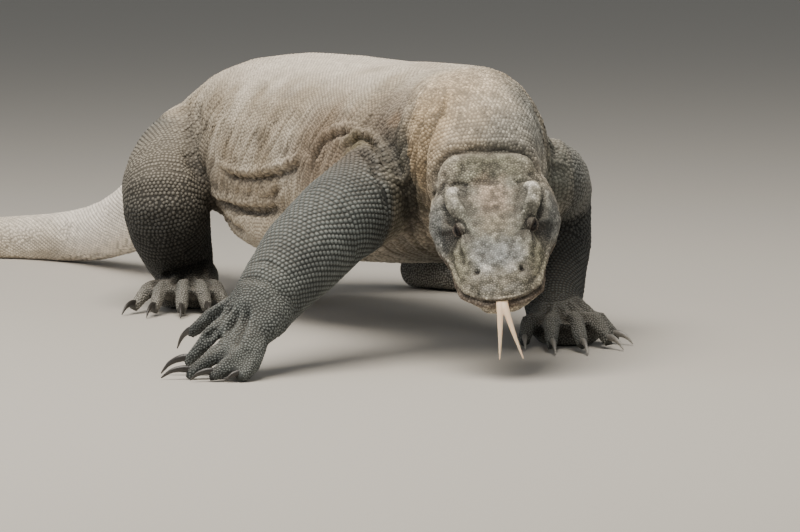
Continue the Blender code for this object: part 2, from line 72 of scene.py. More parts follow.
class Side(Enum):
    """The animal's two sides, as the sign of x in the head's frame."""

    RIGHT = -1
    LEFT = 1


class Limb(Enum):
    """The four limbs, by the first words of their nodes' names."""

    RIGHT_ARM = "right_hand"
    LEFT_ARM = "left_hand"
    RIGHT_LEG = "right_foot"
    LEFT_LEG = "left_foot"


# ---- small helpers ----
def linear(colour: str) -> Array:
    """Turn an sRGB hex colour such as "#a89c88" into linear red, green and blue."""
    parts = (int(colour[index : index + 2], 16) / 255 for index in (1, 3, 5))
    return np.array([part / 12.92 if part <= 0.04045 else ((part + 0.055) / 1.055) ** 2.4 for part in parts])


def clear_selection() -> None:
    """Deselect every object, because the loaded solids come in selected."""
    bpy.ops.object.select_all(action="DESELECT")


def activate(piece: Object) -> None:
    """Make a piece the only selected and the active one.

    Args:
        piece: The object to select.
    """
    clear_selection()
    piece.select_set(True)
    bpy.context.view_layer.objects.active = piece


def finish_modifier(piece: Object, kind: str, **settings: object) -> None:
    """Add a modifier with the given settings and apply it.

    Args:
        piece: The mesh object to change.
        kind: The modifier's type.
        settings: Values for the modifier's own properties.
    """
    activate(piece)
    modifier = piece.modifiers.new(kind.lower(), kind)
    for name, value in settings.items():
        setattr(modifier, name, value)
    bpy.ops.object.modifier_apply(modifier=modifier.name)


@contextmanager
def editing(piece: Object) -> Iterator[None]:
    """Hold a mesh in edit mode, with all of it selected.

    Args:
        piece: The mesh object to edit.
    """
    activate(piece)
    bpy.ops.object.mode_set(mode="EDIT")
    bpy.ops.mesh.select_all(action="SELECT")
    yield
    bpy.ops.object.mode_set(mode="OBJECT")


def add_object(name: str, data: ID) -> Object:
    """Put a mesh, curve, light or camera into the scene as a new object."""
    added = bpy.data.objects.new(name, data)
    bpy.context.scene.collection.objects.link(added)
    return added


def join(pieces: list[Object]) -> Object:
    """Join pieces into the first of them."""
    activate(pieces[0])
    for piece in pieces:
        piece.select_set(True)
    bpy.ops.object.join()
    return bpy.context.view_layer.objects.active


def ride_root(piece: Object, slot: str, *nodes: str) -> None:
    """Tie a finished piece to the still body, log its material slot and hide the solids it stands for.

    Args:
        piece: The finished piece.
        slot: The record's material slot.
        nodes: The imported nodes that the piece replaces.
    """
    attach(piece, "root")
    if nodes:
        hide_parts(*nodes)
    log.info("%s rides the body in slot %s", piece.name, slot)


def spline(points: list[Vector], steps: int) -> list[Vector]:
    """Points on a smooth curve through the given ones.

    Args:
        points: The places that the curve passes through.
        steps: How many points the curve has from each place to the next.

    Returns:
        The curve's points, from the first place to the last.
    """
    padded = [points[0], *points, points[-1]]
    curve = []
    for before, start, end, after in zip(padded, padded[1:], padded[2:], padded[3:]):
        for step in range(steps):
            t = step / steps
            bend = (2 * before - 5 * start + 4 * end - after) * t * t
            twist = (-before + 3 * start - 3 * end + after) * t**3
            curve.append((2 * start + (end - before) * t + bend + twist) / 2)
    curve.append(points[-1].copy())
    return curve


def noise(points: Array, size: float, seed: int) -> Array:
    """Soft random values between -1 and 1 that change over about one size.

    Args:
        points: Places, one row each.
        size: The distance over which the values change, in metres.
        seed: Picks one pattern out of many.

    Returns:
        One value for each place.
    """
    cells = points / size
    base = np.floor(cells).astype(np.int64)
    part = cells - base
    part = part * part * (3 - 2 * part)
    total = np.zeros(len(points))
    for corner in itertools.product((0, 1), repeat=3):
        place = base + corner
        mixed = place[:, 0] * 73856093 ^ place[:, 1] * 19349663 ^ place[:, 2] * 83492791 ^ seed * 9176351
        mixed = (mixed ^ (mixed >> 13)) * 1274126177 & 0x7FFFFFFF
        mixed = (mixed ^ (mixed >> 15)) * 668265263 & 0x7FFFFFFF
        weight = np.prod(np.where(corner, part, 1 - part), axis=1)
        total += weight * (mixed / 0x3FFFFFFF - 1)
    return total


def lengths(rows: Array) -> Array:
    """The length of each row."""
    return np.linalg.norm(rows, axis=1)


def ease(value: Array, low: float, high: float) -> Array:
    """Rise softly from 0 to 1 as a value goes from low to high, or the other way if high is less."""
    share = np.clip((value - low) / (high - low), 0, 1)
    return share * share * (3 - 2 * share)


def metres(table: object) -> object:
    """Turn a table in millimetres, however it is nested, into metres."""
    return tuple(map(metres, table)) if isinstance(table, tuple) else round(table / 1000, 9)


def head_share(places: Array) -> tuple[Array, Array]:
    """Measure places against the head.

    Args:
        places: Points, one row each.

    Returns:
        The same points in the head's frame, and how much each belongs to the head, from 0 to 1.
    """
    local = (places - np.array(HEAD.translation)) @ np.array(HEAD.to_3x3())
    reach = lengths((local - (0.0, -0.090, -0.005)) / (0.105, 0.155, 0.095))
    return local, ease(reach, 1.12, 0.96) * ease(local[:, 1], 0.012, -0.010)


def add_node(
    tree: NodeTree, kind: str, links: dict[str | int, object] | None = None, **settings: object
) -> Node:
    """Add one shader node with its settings, input values and links.

    Args:
        tree: The material's node tree.
        kind: The node's type name.
        links: What each input takes: a plain value, or an output socket to link.
        settings: Values for the node's own properties.

    Returns:
        The new node.
    """
    node = tree.nodes.new(kind)
    for name, value in settings.items():
        setattr(node, name, value)
    for name, value in (links or {}).items():
        socket = node.inputs[name]
        if isinstance(value, NodeSocket):
            tree.links.new(value, socket)
        else:
            socket.default_value = value
    return node


def new_material(name: str) -> tuple[Material, NodeTree]:
    """Make a material with an empty node tree, and return both."""
    material = bpy.data.materials.new(name)
    material.use_nodes = True
    material.node_tree.nodes.clear()
    return material, material.node_tree


def add_surface(tree: NodeTree, inputs: dict[str, object]) -> None:
    """Add the shader with its inputs, and link it to the material's output."""
    shader = add_node(tree, "ShaderNodeBsdfPrincipled", inputs)
    add_node(tree, "ShaderNodeOutputMaterial", {"Surface": shader.outputs["BSDF"]})


# ---- the lie of the body ----
@dataclass
class BodyAxis:
    """The line down the middle of the trunk or of a limb, with its flesh's radius and its scales' size.

    Attributes:
        rows: (x, y, z, radius of the flesh, step between scales) along the line.
    """

    rows: tuple[tuple[float, float, float, float, float], ...]

    def nearest(self, places: Array) -> tuple[Array, Array, Array]:
        """Measure places against the axis.

        Args:
            places: Points, one row each.

        Returns:
            Each point's distance in flesh radii, the axis's direction beside it, and its scales' step.
        """
        rows = np.array(self.rows)
        best = np.full(len(places), np.inf)
        lies = np.zeros_like(places)
        steps = np.zeros(len(places))
        for start, end in zip(rows, rows[1:]):
            along = end[:3] - start[:3]
            share = np.clip((places - start[:3]) @ along / (along @ along), 0, 1)
            gap = lengths(places - start[:3] - share[:, None] * along)
            ratio = gap / (start[3] + share * (end[3] - start[3]))
            closer = ratio < best
            best[closer] = ratio[closer]
            lies[closer] = along / np.linalg.norm(along)
            steps[closer] = (start[4] + share * (end[4] - start[4]))[closer]
        return best, lies, steps

    def curve(self, step: float) -> list[tuple[Vector, float, float]]:
        """Places along the axis, evenly spaced.

        Args:
            step: The distance between places, as a share of the scales' own step there.

        Returns:
            (place, flesh radius, scales' step) from the first row to the last.
        """
        fine = spline([Vector(row[:3]) for row in self.rows], 16)
        spots = np.linspace(0, len(self.rows) - 1, len(fine))
        columns = np.array(self.rows)[:, 3:].T
        widths, sizes = (np.interp(spots, range(len(self.rows)), column) for column in columns)
        found, waiting = [], 0.0
        for index in range(len(fine) - 1):
            length = (fine[index + 1] - fine[index]).length
            while waiting < length:
                share = waiting / length
                size = float(sizes[index] * (1 - share) + sizes[index + 1] * share)
                width = float(widths[index] * (1 - share) + widths[index + 1] * share)
                found.append((fine[index].lerp(fine[index + 1], share), width, size))
                waiting += size * step
            waiting -= length
        return found


# each row's five values are in millimetres
SPINE = BodyAxis(metres((
    (-30, -904, 200, 60, 4),
    (-14, -854, 236, 72, 4.3),
    (1, -806, 246, 80, 4.5),
    (24, -749, 235, 100, 4.6),
    (42, -684, 218, 118, 4.9),
    (52, -594, 214, 126, 5.2),
    (64, -484, 212, 130, 5.3),
    (72, -364, 212, 135, 5.3),
    (74, -234, 212, 132, 5.3),
    (74, -109, 210, 118, 5.5),
    (74, -4, 200, 96, 5.8),
    (74, 126, 172, 62, 6.4),
    (74, 256, 112, 52, 6.6),
    (70, 396, 64, 42, 6.2),
    (54, 516, 42, 36, 5.8),
    (-1, 616, 34, 30, 5.4),
    (-116, 686, 28, 26, 5),
    (-241, 746, 23, 21, 4.6),
    (-351, 831, 18, 17, 4.2),
    (-431, 936, 14, 13, 3.8),
    (-474, 1052, 10, 9, 2.5),
)))
LIMBS = {
    Limb.RIGHT_ARM: BodyAxis(metres((
        (14, -662, 205, 56, 5),
        (-51, -689, 196, 58, 5.8),
        (-116, -736, 178, 55, 6.8),
        (-171, -772, 156, 52, 6.8),
        (-216, -796, 128, 50, 6.6),
        (-256, -818, 100, 43, 5.8),
        (-290, -836, 72, 37, 4.8),
    ))),
    Limb.LEFT_ARM: BodyAxis(metres((
        (114, -674, 203, 52, 5),
        (169, -662, 195, 53, 5.6),
        (206, -622, 184, 51, 6.4),
        (230, -587, 158, 47, 6.4),
        (224, -602, 118, 46, 6.2),
        (207, -629, 80, 42, 5.6),
        (189, -662, 48, 37, 5),
        (179, -686, 28, 33, 4.4),
    ))),
    Limb.RIGHT_LEG: BodyAxis(metres((
        (39, 1, 198, 74, 5.8),
        (-11, -32, 188, 69, 6),
        (-61, -86, 170, 63, 5.6),
        (-92, -131, 143, 58, 5.6),
        (-84, -124, 105, 53, 5.6),
        (-60, -98, 66, 45, 5.4),
        (-38, -82, 34, 35, 4.6),
    ))),
    Limb.LEFT_LEG: BodyAxis(metres((
        (109, 1, 198, 74, 5.8),
        (169, -19, 190, 70, 6),
        (244, -54, 178, 62, 6.2),
        (310, -94, 148, 54, 6.2),
        (332, -92, 100, 48, 6),
        (338, -72, 60, 42, 5.4),
        (336, -54, 32, 34, 4.6),
    ))),
}


def claw_line(node: str) -> tuple[Vector, Vector]:
    """Find a packed claw's two ends.

    Args:
        node: The claw's node.

    Returns:
        The middle of its root and its point.
    """
    points = np.array([vertex.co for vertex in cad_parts[node].data.vertices])
    middle = points.mean(0)
    spread = points - middle
    axis = np.linalg.svd(spread, full_matrices=False)[2][0]
    share = spread @ axis
    ends = []
    for way in (share < share.min() + 0.003, share > share.max() - 0.003):
        end = points[way].mean(0)
        ends.append((lengths(points[way] - end).max(), Vector(end)))
    ends.sort(key=lambda pair: -pair[0])
    return ends[0][1], ends[1][1]


def claw_lines() -> list[tuple[str, Vector, Vector]]:
    """List each packed claw's node with its two ends."""
    return [(node, *claw_line(node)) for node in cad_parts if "claw" in node]


# ---- the hide ----
@dataclass
class Clay:
    """A mesh's points held as arrays, so that they can be pushed and smoothed like clay.

    Attributes:
        piece: The mesh object that is sculpted.
    """

    piece: Object
    places: Array = field(init=False)
    normals: Array = field(init=False)
    edges: Array = field(init=False)

    def __post_init__(self) -> None:
        """Read the mesh."""
        self.read()

    def read(self) -> None:
        """Take the points, normals and edges from the mesh."""
        mesh = self.piece.data
        self.places = np.zeros(len(mesh.vertices) * 3)
        mesh.vertices.foreach_get("co", self.places)
        self.places = self.places.reshape(-1, 3)
        self.edges = np.zeros(len(mesh.edges) * 2, np.int64)
        mesh.edges.foreach_get("vertices", self.edges)
        self.edges = self.edges.reshape(-1, 2)
        self.read_normals()

    def read_normals(self) -> None:
        """Take the normals from the mesh as it is now."""
        self.normals = np.zeros(len(self.places) * 3)
        self.piece.data.vertex_normals.foreach_get("vector", self.normals)
        self.normals = self.normals.reshape(-1, 3)

    def write(self) -> None:
        """Put the points back into the mesh and take its new normals."""
        self.piece.data.vertices.foreach_set("co", self.places.ravel())
        self.piece.data.update()
        self.read_normals()

    def average(self, values: Array) -> Array:
        """The mean of each point's neighbours.

        Args:
            values: One row, or one number, for each point.

        Returns:
            The means, in the same form.
        """
        count = len(self.places)
        ends = np.concatenate((self.edges[:, 0], self.edges[:, 1]))
        others = np.concatenate((self.edges[:, 1], self.edges[:, 0]))
        share = np.maximum(np.bincount(ends, minlength=count), 1)
        columns = values.reshape(count, -1)
        sums = [np.bincount(ends, weights=column, minlength=count) / share for column in columns[others].T]
        return np.stack(sums, 1).reshape(values.shape)

    def smooth(self, passes: int, amount: Array | float = 1.0) -> None:
        """Round the surface off without thinning it: each pass pulls it in and then lets it out.

        Args:
            passes: How many pairs of steps are made.
            amount: How much of each step every point takes, from 0 to 1.
        """
        amount = np.broadcast_to(np.asarray(amount, float), len(self.places))[:, None]
        for _ in range(passes):
            for step in (0.60, -0.62):
                self.places += step * amount * (self.average(self.places) - self.places)

    def push(self, heights: Array) -> None:
        """Move every point out along its normal by its own height, or in where that is below zero."""
        self.places += self.normals * heights[:, None]

    def tree(self) -> BVHTree:
        """A search tree over the mesh as it is now."""
        self.write()
        graph = bpy.context.evaluated_depsgraph_get()
        return BVHTree.FromObject(self.piece, graph)


@dataclass(frozen=True)
class Fold:
    """A furrow in the skin, with soft lips beside it.

    Attributes:
        path: Places close to the surface that the furrow runs past.
        width: Half the width of the furrow.
        depth: How deep it is; below zero it is a ridge.
        lip: How high its lips stand, as a share of its depth.
        drape: How much the skin above it hangs over it, from 0 to 1.
    """

    path: Path
    width: float
    depth: float
    lip: float = 0.30
    drape: float = 0.0

    def press(self, clay: Clay, tree: BVHTree) -> None:
        """Press the fold into the clay.

        Args:
            clay: The sculpted mesh.
            tree: A search tree over it, which brings the path onto the surface.
        """
        on_skin = [tree.find_nearest(Vector(place))[0] for place in self.path]
        path = np.array(spline(on_skin, 6))
        reach = self.width * 4
        low, high = path.min(0) - reach, path.max(0) + reach
        near = np.flatnonzero(np.all((clay.places > low) & (clay.places < high), axis=1))
        gap = np.full(len(near), np.inf)
        run = np.zeros(len(near))
        rise = np.zeros(len(near))
        for index, (start, end) in enumerate(zip(path, path[1:])):
            along = end - start
            share = np.clip((clay.places[near] - start) @ along / max(along @ along, 1e-12), 0, 1)
            away = clay.places[near] - start - share[:, None] * along
            span = lengths(away)
            closer = span < gap
            gap[closer] = span[closer]
            rise[closer] = away[closer, 2] / self.width
            run[closer] = (index + share[closer]) / (len(path) - 1)
        across = gap / self.width
        ends = ease(run, 0.0, 0.18) * ease(run, 1.0, 0.82)
        above = ease(rise, -0.4, 0.4)
        lips = self.lip * np.exp(-(((across - 2.0) / 0.8) ** 2))
        hanging = 0.80 * above * np.exp(-(((across - 1.7) / 1.3) ** 2))
        hanging -= 0.35 * (1 - above) * np.exp(-((across / 2.6) ** 2))
        shape = -np.exp(-(across**2)) + (1 - self.drape) * lips + self.drape * hanging
        heights = np.zeros(len(clay.places))
        heights[near] = self.depth * shape * (0.15 + 0.85 * ends)
        clay.push(heights)


def in_head(*places: Place) -> Path:
    """Turn places in the head's own frame into places in the model's."""
    return tuple(tuple(HEAD @ Vector(place)) for place in places)


def both_sides(path: Path) -> list[Path]:
    """Give a path on the left of the head's frame and its mirror image, both in the model's frame."""
    return [in_head(*((x * side.value, y, z) for x, y, z in path)) for side in Side]


def mirrored(places: Path) -> Path:
    """Carry a path in the head's frame on past its last place, as its own mirror image."""
    return places + tuple((-x, y, z) for x, y, z in places[-2::-1])


# (path, half width, depth) in millimetres in the head's frame, each mirrored
HEAD_FOLDS = metres((
    # the furrow between brow and cheek, down past the eye to the side of the snout
    (((58, -32, 24), (53.5, -54, 25), (51, -76, 20), (49, -112, 8)), 5.6, 6.8),
    # the valley down the middle of the crown
    (((0, -2, 50), (0, -25, 48), (0, -48, 42)), 12, 2.2),
    # the canthus, from the brow to the nostril
    (((41, -108, 22), (36, -128, 18), (31, -148, 15)), 5, -2.6),
    # between the raised nose and the side of the snout
    (((16, -120, 23), (18, -142, 20), (19, -156, 18)), 4.5, 0.9),
    # the crest over the eye, and the hollow that parts it from the forehead
    (((45, -46, 34), (46, -58, 32), (42, -74, 31), (36, -90, 28)), 4.2, -4),
    (((36, -42, 38), (33, -54, 37), (28, -70, 34), (24, -90, 30)), 5.5, 2),
    # a wrinkle from the brow in to the forehead
    (((50, -36, 32), (40, -38, 38), (28, -44, 40)), 3.2, 2),
    (((43, -52, 34), (37, -54, 36), (30, -60, 36)), 2.6, 1),
    # under the eye, and the upper lip above its row of lip scales
    (((60, -76, 0), (54, -104, -2), (49, -130, 0)), 5, 2.2),
    (((60, -90, -10), (51, -125, -6), (44, -155, -1), (24, -182, 5)), 3, 1.4),
    # the fold behind the corner of the mouth, and slack skin under the jaw
    (((66, -50, -12), (69, -40, -28), (62, -34, -46)), 5, 4),
    (((16, -150, -36), (20, -105, -44), (24, -60, -50)), 5, 2.2),
))
# from the animal's right to the middle and on, in the head's frame; the crease is behind the jaw muscles
NAPE_CREASE = mirrored(metres(((-69, -10, 10), (-54, -1, 38), (-30, 1, 48), (0, 0, 51))))
MOUTH_LINE = mirrored(metres((
    *((-66.5, -62, -22), (-61, -100, -18), (-54, -138, -14), (-48.5, -166, -10)),
    *((-35, -184, -6), (-17, -194, -3), (0, -197, -2)),
)))
# (path, half width, depth) in millimetres, then the lip and the drape where they aren't the usual ones
BODY_FOLDS = tuple(Fold(*metres(row[:3]), *row[3:]) for row in (
    # slack folds down the side of the neck, before the shoulder
    (((-38, -815, 323), (-68, -845, 290), (-84, -846, 250), (-82, -840, 226), (-73, -827, 195)), 7.5, 5.5),
    (((-30, -790, 322), (-60, -818, 300), (-78, -824, 262), (-80, -818, 231), (-69, -802, 195)), 5.5, 3.5),
    (((-52, -770, 305), (-69, -779, 283), (-73, -776, 255), (-73, -787, 223), (-62, -780, 185)), 9, 7),
    (((70, -860, 290), (88, -850, 262), (96, -835, 230), (94, -815, 196)), 7, 4.5),
    (((85, -815, 300), (106, -800, 268), (112, -790, 235), (108, -770, 200)), 8, 5),
    (((0, -885, 150), (30, -870, 146), (60, -850, 152), (84, -830, 172)), 8, 5),
    (((-50, -850, 160), (-20, -848, 142), (20, -838, 136), (60, -815, 146)), 9, 6),
    # arcs of skin gathered over the lifted shoulder
    (((-71, -520, 205), (-70, -540, 232), (-69, -575, 250), (-69, -628, 259)), 4.5, 6, 0.4, 0.5),
    (((-71, -605, 232), (-72, -640, 250), (-72, -674, 252), (-84, -725, 243), (-91, -762, 222)),
     4.2, 6.4, 0.4, 0.5),
    (((-100, -705, 236), (-105, -728, 239), (-106, -752, 232), (-110, -778, 212), (-104, -794, 175)),
     4.2, 6, 0.4, 0.5),
    (((-71, -516, 202), (-71, -532, 215), (-71, -500, 232)), 6, 3),
    (((190, -600, 225), (186, -640, 246), (180, -690, 248), (170, -730, 235)), 6, 4.5),
    (((200, -560, 200), (196, -585, 232), (190, -625, 258)), 7, 4),
    # the long slack fold low on each flank, and the creases where the belly hangs before the thigh
    (((-67, -240, 190), (-69, -284, 182), (-70, -340, 183), (-71, -400, 190), (-71, -457, 202),
      (-71, -488, 214)),
     5, 7.5, 0.45, 0.8),
    (((-46, -172, 147), (-52, -225, 142), (-58, -290, 140), (-62, -342, 141), (-60, -400, 150)),
     5.5, 8.5, 0.45, 0.8),
    (((-50, -230, 119), (-60, -290, 136), (-60, -330, 146), (-65, -390, 162), (-69, -440, 182)), 4.5, 4),
    (((-46, -190, 122), (-50, -245, 116), (-58, -310, 112)), 6, 4.5),
    (((215, -235, 186), (218, -300, 180), (220, -370, 184), (219, -440, 192), (214, -505, 208)),
     5.5, 7, 0.45, 0.8),
    (((196, -170, 146), (204, -240, 140), (210, -320, 140), (208, -400, 150)), 6, 8, 0.45, 0.8),
    (((-50, -95, 262), (-66, -140, 240), (-70, -160, 205), (-60, -170, 170)), 9, 4.5),
    (((196, -80, 268), (212, -115, 245), (214, -135, 205), (205, -145, 165)), 9, 4.5),
    # elbows, wrists, knees and ankles
    (((-178, -728, 176), (-205, -748, 150), (-214, -765, 118)), 6, 2.5),
    (((-300, -800, 86), (-296, -840, 106), (-272, -868, 88)), 4.5, 2.2),
    (((-284, -790, 98), (-278, -832, 120), (-254, -862, 104)), 4.5, 1.8),
    (((198, -700, 52), (168, -712, 52), (150, -690, 46)), 4.5, 2.5),
    (((-92, -100, 58), (-74, -136, 62), (-30, -128, 60)), 5.5, 3),
    (((-100, -100, 80), (-80, -152, 86), (-36, -140, 82)), 5.5, 2.2),
    (((300, -110, 56), (334, -118, 58), (372, -96, 56)), 5.5, 2.8),
))


@dataclass
class Hide:
    """The one skin over all the flesh, melted from the solids and sculpted.

    Attributes:
        grain: The edge length that the flesh is melted on.
        cover: How far the skin lies under the solids, to leave room for the scales.
        limit: The most triangles that the finished skin may have.
        nodes: The flesh solids that the skin stands for.
        skin: The skin's mesh object.
        clay: Its points, as they were sculpted.
        tree: A search tree over it.
        part: The flesh solid under each point.
        limb_share: How much each point belongs to a limb, from 0 to 1.
    """

    grain: float = 0.0030
    cover: float = 0.0010
    limit: int = 190_000
    nodes: list[str] = field(init=False)
    skin: Object = field(init=False)
    clay: Clay = field(init=False)
    tree: BVHTree = field(init=False)
    part: Array = field(init=False)
    limb_share: Array = field(init=False)

    def __post_init__(self) -> None:
        """Melt and sculpt the skin, and find which part of the body each point belongs to."""
        others = ("eye", "tongue", "claw")
        self.nodes = [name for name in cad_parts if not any(word in name for word in others)]
        self.skin = self.melt()
        self.clay = Clay(self.skin)
        self.round_off()
        self.divide(head_share(self.clay.places)[1] > 0.05)
        self.sculpt()
        self.find_parts()
        self.tree = self.clay.tree()

    def flesh_tree(self) -> tuple[BVHTree, list[str]]:
        """Build a search tree over all the flesh solids.

        Returns:
            The tree, and the node that each of its faces belongs to.
        """
        corners, faces, names = [], [], []
        for name in self.nodes:
            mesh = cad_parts[name].data
            start = len(corners)
            corners += [vertex.co.copy() for vertex in mesh.vertices]
            faces += [[start + index for index in polygon.vertices] for polygon in mesh.polygons]
            names += [name] * len(mesh.polygons)
        return BVHTree.FromPolygons(corners, faces), names

    def melt(self) -> Object:
        """Join copies of the flesh solids and melt them into one closed surface.

        Returns:
            The surface, as one object.
        """
        copies = []
        for name in self.nodes:
            piece = add_object("hide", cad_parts[name].data.copy())
            with editing(piece):
                bpy.ops.mesh.remove_doubles(threshold=0.00001)
            finish_modifier(piece, "DISPLACE", strength=0.0007, mid_level=0.0)
            copies.append(piece)
        hide = join(copies + self.fillings())
        finish_modifier(hide, "REMESH", mode="VOXEL", voxel_size=self.grain, use_smooth_shade=True)
        bpy.ops.mesh.separate(type="LOOSE")
        shells = sorted(bpy.context.selected_objects, key=lambda shell: -len(shell.data.vertices))
        for bubble in shells[1:]:
            bpy.data.objects.remove(bubble)
        shells[0].name = "skin"
        shells[0].data.materials.clear()
        log.info("melted flesh has %d faces", len(shells[0].data.polygons))
        return shells[0]

    def fillings(self) -> list[Object]:
        """Fill the sockets, so that each digit ends in a round tip and the skin passes over each eyeball.

        Returns:
            Three balls of flesh for each claw and one for each eye.
        """
        balls = [(Eye(side).centre(), Eye(side).radius + 0.0012) for side in Side]
        fingertip = ((0.001, 0.0072), (0.005, 0.0064), (0.008, 0.0052))  # (distance from the root, radius)
        for _, root, point in claw_lines():
            along = (point - root).normalized()
            balls += [(root + depth * along, radius) for depth, radius in fingertip]
        made = []
        for place, radius in balls:
            clear_selection()
            bpy.ops.mesh.primitive_uv_sphere_add(segments=16, ring_count=10, radius=radius, location=place)
            made.append(bpy.context.object)
        return made

    def digits_share(self, places: Array) -> Array:
        """Find how much each place belongs to a finger or toe.

        Args:
            places: Points, one row each.

        Returns:
            1 on the digits, falling to 0 at the wrist or ankle.
        """
        share = np.zeros(len(places))
        for _, root, _ in claw_lines():
            share = np.maximum(share, ease(lengths(places - np.array(root)), 0.060, 0.035))
        return share

    def round_off(self) -> None:
        """Round the solids' facets away, most on the trunk and least on the digits and the tail's tip."""
        clay = self.clay
        on_head = head_share(clay.places)[1]
        digits = self.digits_share(clay.places)
        tail_tip = ease(clay.places[:, 1], 0.70, 0.95)
        amount = 1 - 0.45 * on_head - 0.70 * digits - 0.60 * tail_tip
        clay.smooth(24, np.clip(amount, 0.15, 1))
        coarse = np.clip(1 - on_head - digits - tail_tip, 0, 1)
        clay.smooth(50, coarse)
        clay.write()

    def divide(self, chosen: Array) -> None:
        """Divide some of the faces, so that finer shapes can be sculpted there.

        Args:
            chosen: Whether each point takes part.
        """
        with editing(self.skin):
            bpy.ops.mesh.select_all(action="DESELECT")
            mesh = bmesh.from_edit_mesh(self.skin.data)
            for face in mesh.faces:
                if all(chosen[vertex.index] for vertex in face.verts):
                    face.select = True
            bmesh.update_edit_mesh(self.skin.data)
            bpy.ops.mesh.subdivide(number_cuts=1, smoothness=0.0, quadcorner="INNERVERT")
        self.clay.read()

    def sculpt(self) -> None:
        """Press in the folds, swell the brows and open the lids and nostrils."""
        clay = self.clay
        tree = clay.tree()
        clay.push(np.full(len(clay.places), -self.cover))
        self.draw_in()
        for fold in BODY_FOLDS:
            fold.press(clay, tree)
        clay.write()
        for path, width, depth in HEAD_FOLDS:
            for side_path in both_sides(path):
                Fold(side_path, width, depth, 0.25).press(clay, tree)
        Fold(in_head(*NAPE_CREASE), 0.0060, 0.0065, 0.20).press(clay, tree)
        clay.write()
        self.shape_paws(tree)
        head, on_head = head_share(clay.places)
        self.wrinkle(head, on_head)
        self.shape_head(head, tree)
        clay.write()
        eyes = [Eye(side) for side in Side]
        for _ in range(2):
            around = np.zeros(len(clay.places))
            for eye in eyes:
                self.open_eye(eye)
                around = np.maximum(around, ease(eye.gap(clay.places), 0.024, 0.017))
            clay.smooth(3, 0.8 * around)
            clay.write()
        for reach in (0.0155, 0.0145):
            self.divide(np.min([eye.gap(clay.places) for eye in eyes], axis=0) < reach)
            for eye in eyes:
                self.open_eye(eye)
            clay.write()
        clay.places[:, 2] = np.maximum(clay.places[:, 2], self.cover)
        clay.write()

    def draw_in(self) -> None:
        """Draw the belly up before the thighs, and taper the last of the tail to its tip."""
        clay = self.clay
        gap = lengths((clay.places - (0.074, -0.170, 0.075)) / (0.200, 0.190, 0.075))
        clay.places[:, 2] += 0.012 * ease(gap, 1.0, 0.2)
        end = np.array(SPINE.rows[-1][:3])
        back = np.array(SPINE.rows[-2][:3]) - end
        share = np.clip((clay.places - end) @ back / (back @ back), 0, 1)
        middle = end + share[:, None] * back
        middle[:, 2] = 0.0045
        thin = 0.46 * ease(share, 0.62, 0.0) * (lengths(clay.places - end) < 0.13)
        clay.places += thin[:, None] * (middle - clay.places)

    def shape_paws(self, tree: BVHTree) -> None:
        """Part the digits over the back of each hand and foot, and raise them along their bones.

        Args:
            tree: A search tree over the surface.
        """
        lift = Vector((0.0, 0.0, 0.020))
        for limb in Limb:
            wrist = Vector(LIMBS[limb].rows[-1][:3])
            roots = [claw_line(f"{limb.value}_claw_{number}")[0] for number in range(1, 6)]
            for root, other in zip(roots, roots[1:]):
                gap = root.lerp(other, 0.5)
                path = tuple(gap.lerp(wrist, share) + lift for share in (0.10, 0.30, 0.50, 0.72))
                Fold(path, 0.0042, 0.0048, 0.20).press(self.clay, tree)
            for root in roots:
                path = tuple(root.lerp(wrist, share) + lift for share in (0.05, 0.28, 0.50, 0.75))
                Fold(path, 0.0050, -0.0016, 0.0).press(self.clay, tree)
        self.clay.write()

    def wrinkle(self, head: Array, on_head: Array) -> None:
        """Ripple the slack skin of trunk, neck and limbs.

        Args:
            head: The skin's points in the head's frame.
            on_head: How much each belongs to the head.
        """
        places = self.clay.places
        ratio = SPINE.nearest(places)[0]
        trunk = ease(ratio, 1.35, 1.05) * ease(places[:, 1], 0.10, -0.05) * ease(places[:, 1], -0.86, -0.78)
        flank = trunk * ease(places[:, 2], 0.325, 0.24)
        warp = 0.8 * noise(places, 0.060, 3) + 0.5 * noise(places, 0.025, 4)
        run = places @ np.array((0.0, 0.80, 0.60))
        heights = 0.00105 * flank * np.sin(2 * math.pi * (run / 0.017) + 4.0 * warp)
        heights += 0.00080 * flank * np.sin(2 * math.pi * (run / 0.0105) + 5.0 * warp)
        heights += 0.0016 * flank * noise(places * np.array((1.0, 0.45, 1.0)), 0.034, 5)
        around = places @ np.array((0.0, 0.93, 0.36))
        neck = trunk * ease(places[:, 1], -0.66, -0.76)
        heights += 0.0008 * neck * np.sin(2 * math.pi * (around / 0.014) + 3.0 * warp)
        limbs = np.zeros(len(places))
        for axis in LIMBS.values():
            limbs = np.maximum(limbs, ease(axis.nearest(places)[0], 1.5, 1.1))
        heights += 0.0006 * limbs * (1 - trunk) * noise(places, 0.016, 6)
        heights += on_head * (0.0007 * noise(head, 0.010, 7) + 0.0004 * noise(head, 0.0045, 8))
        self.clay.push(heights)

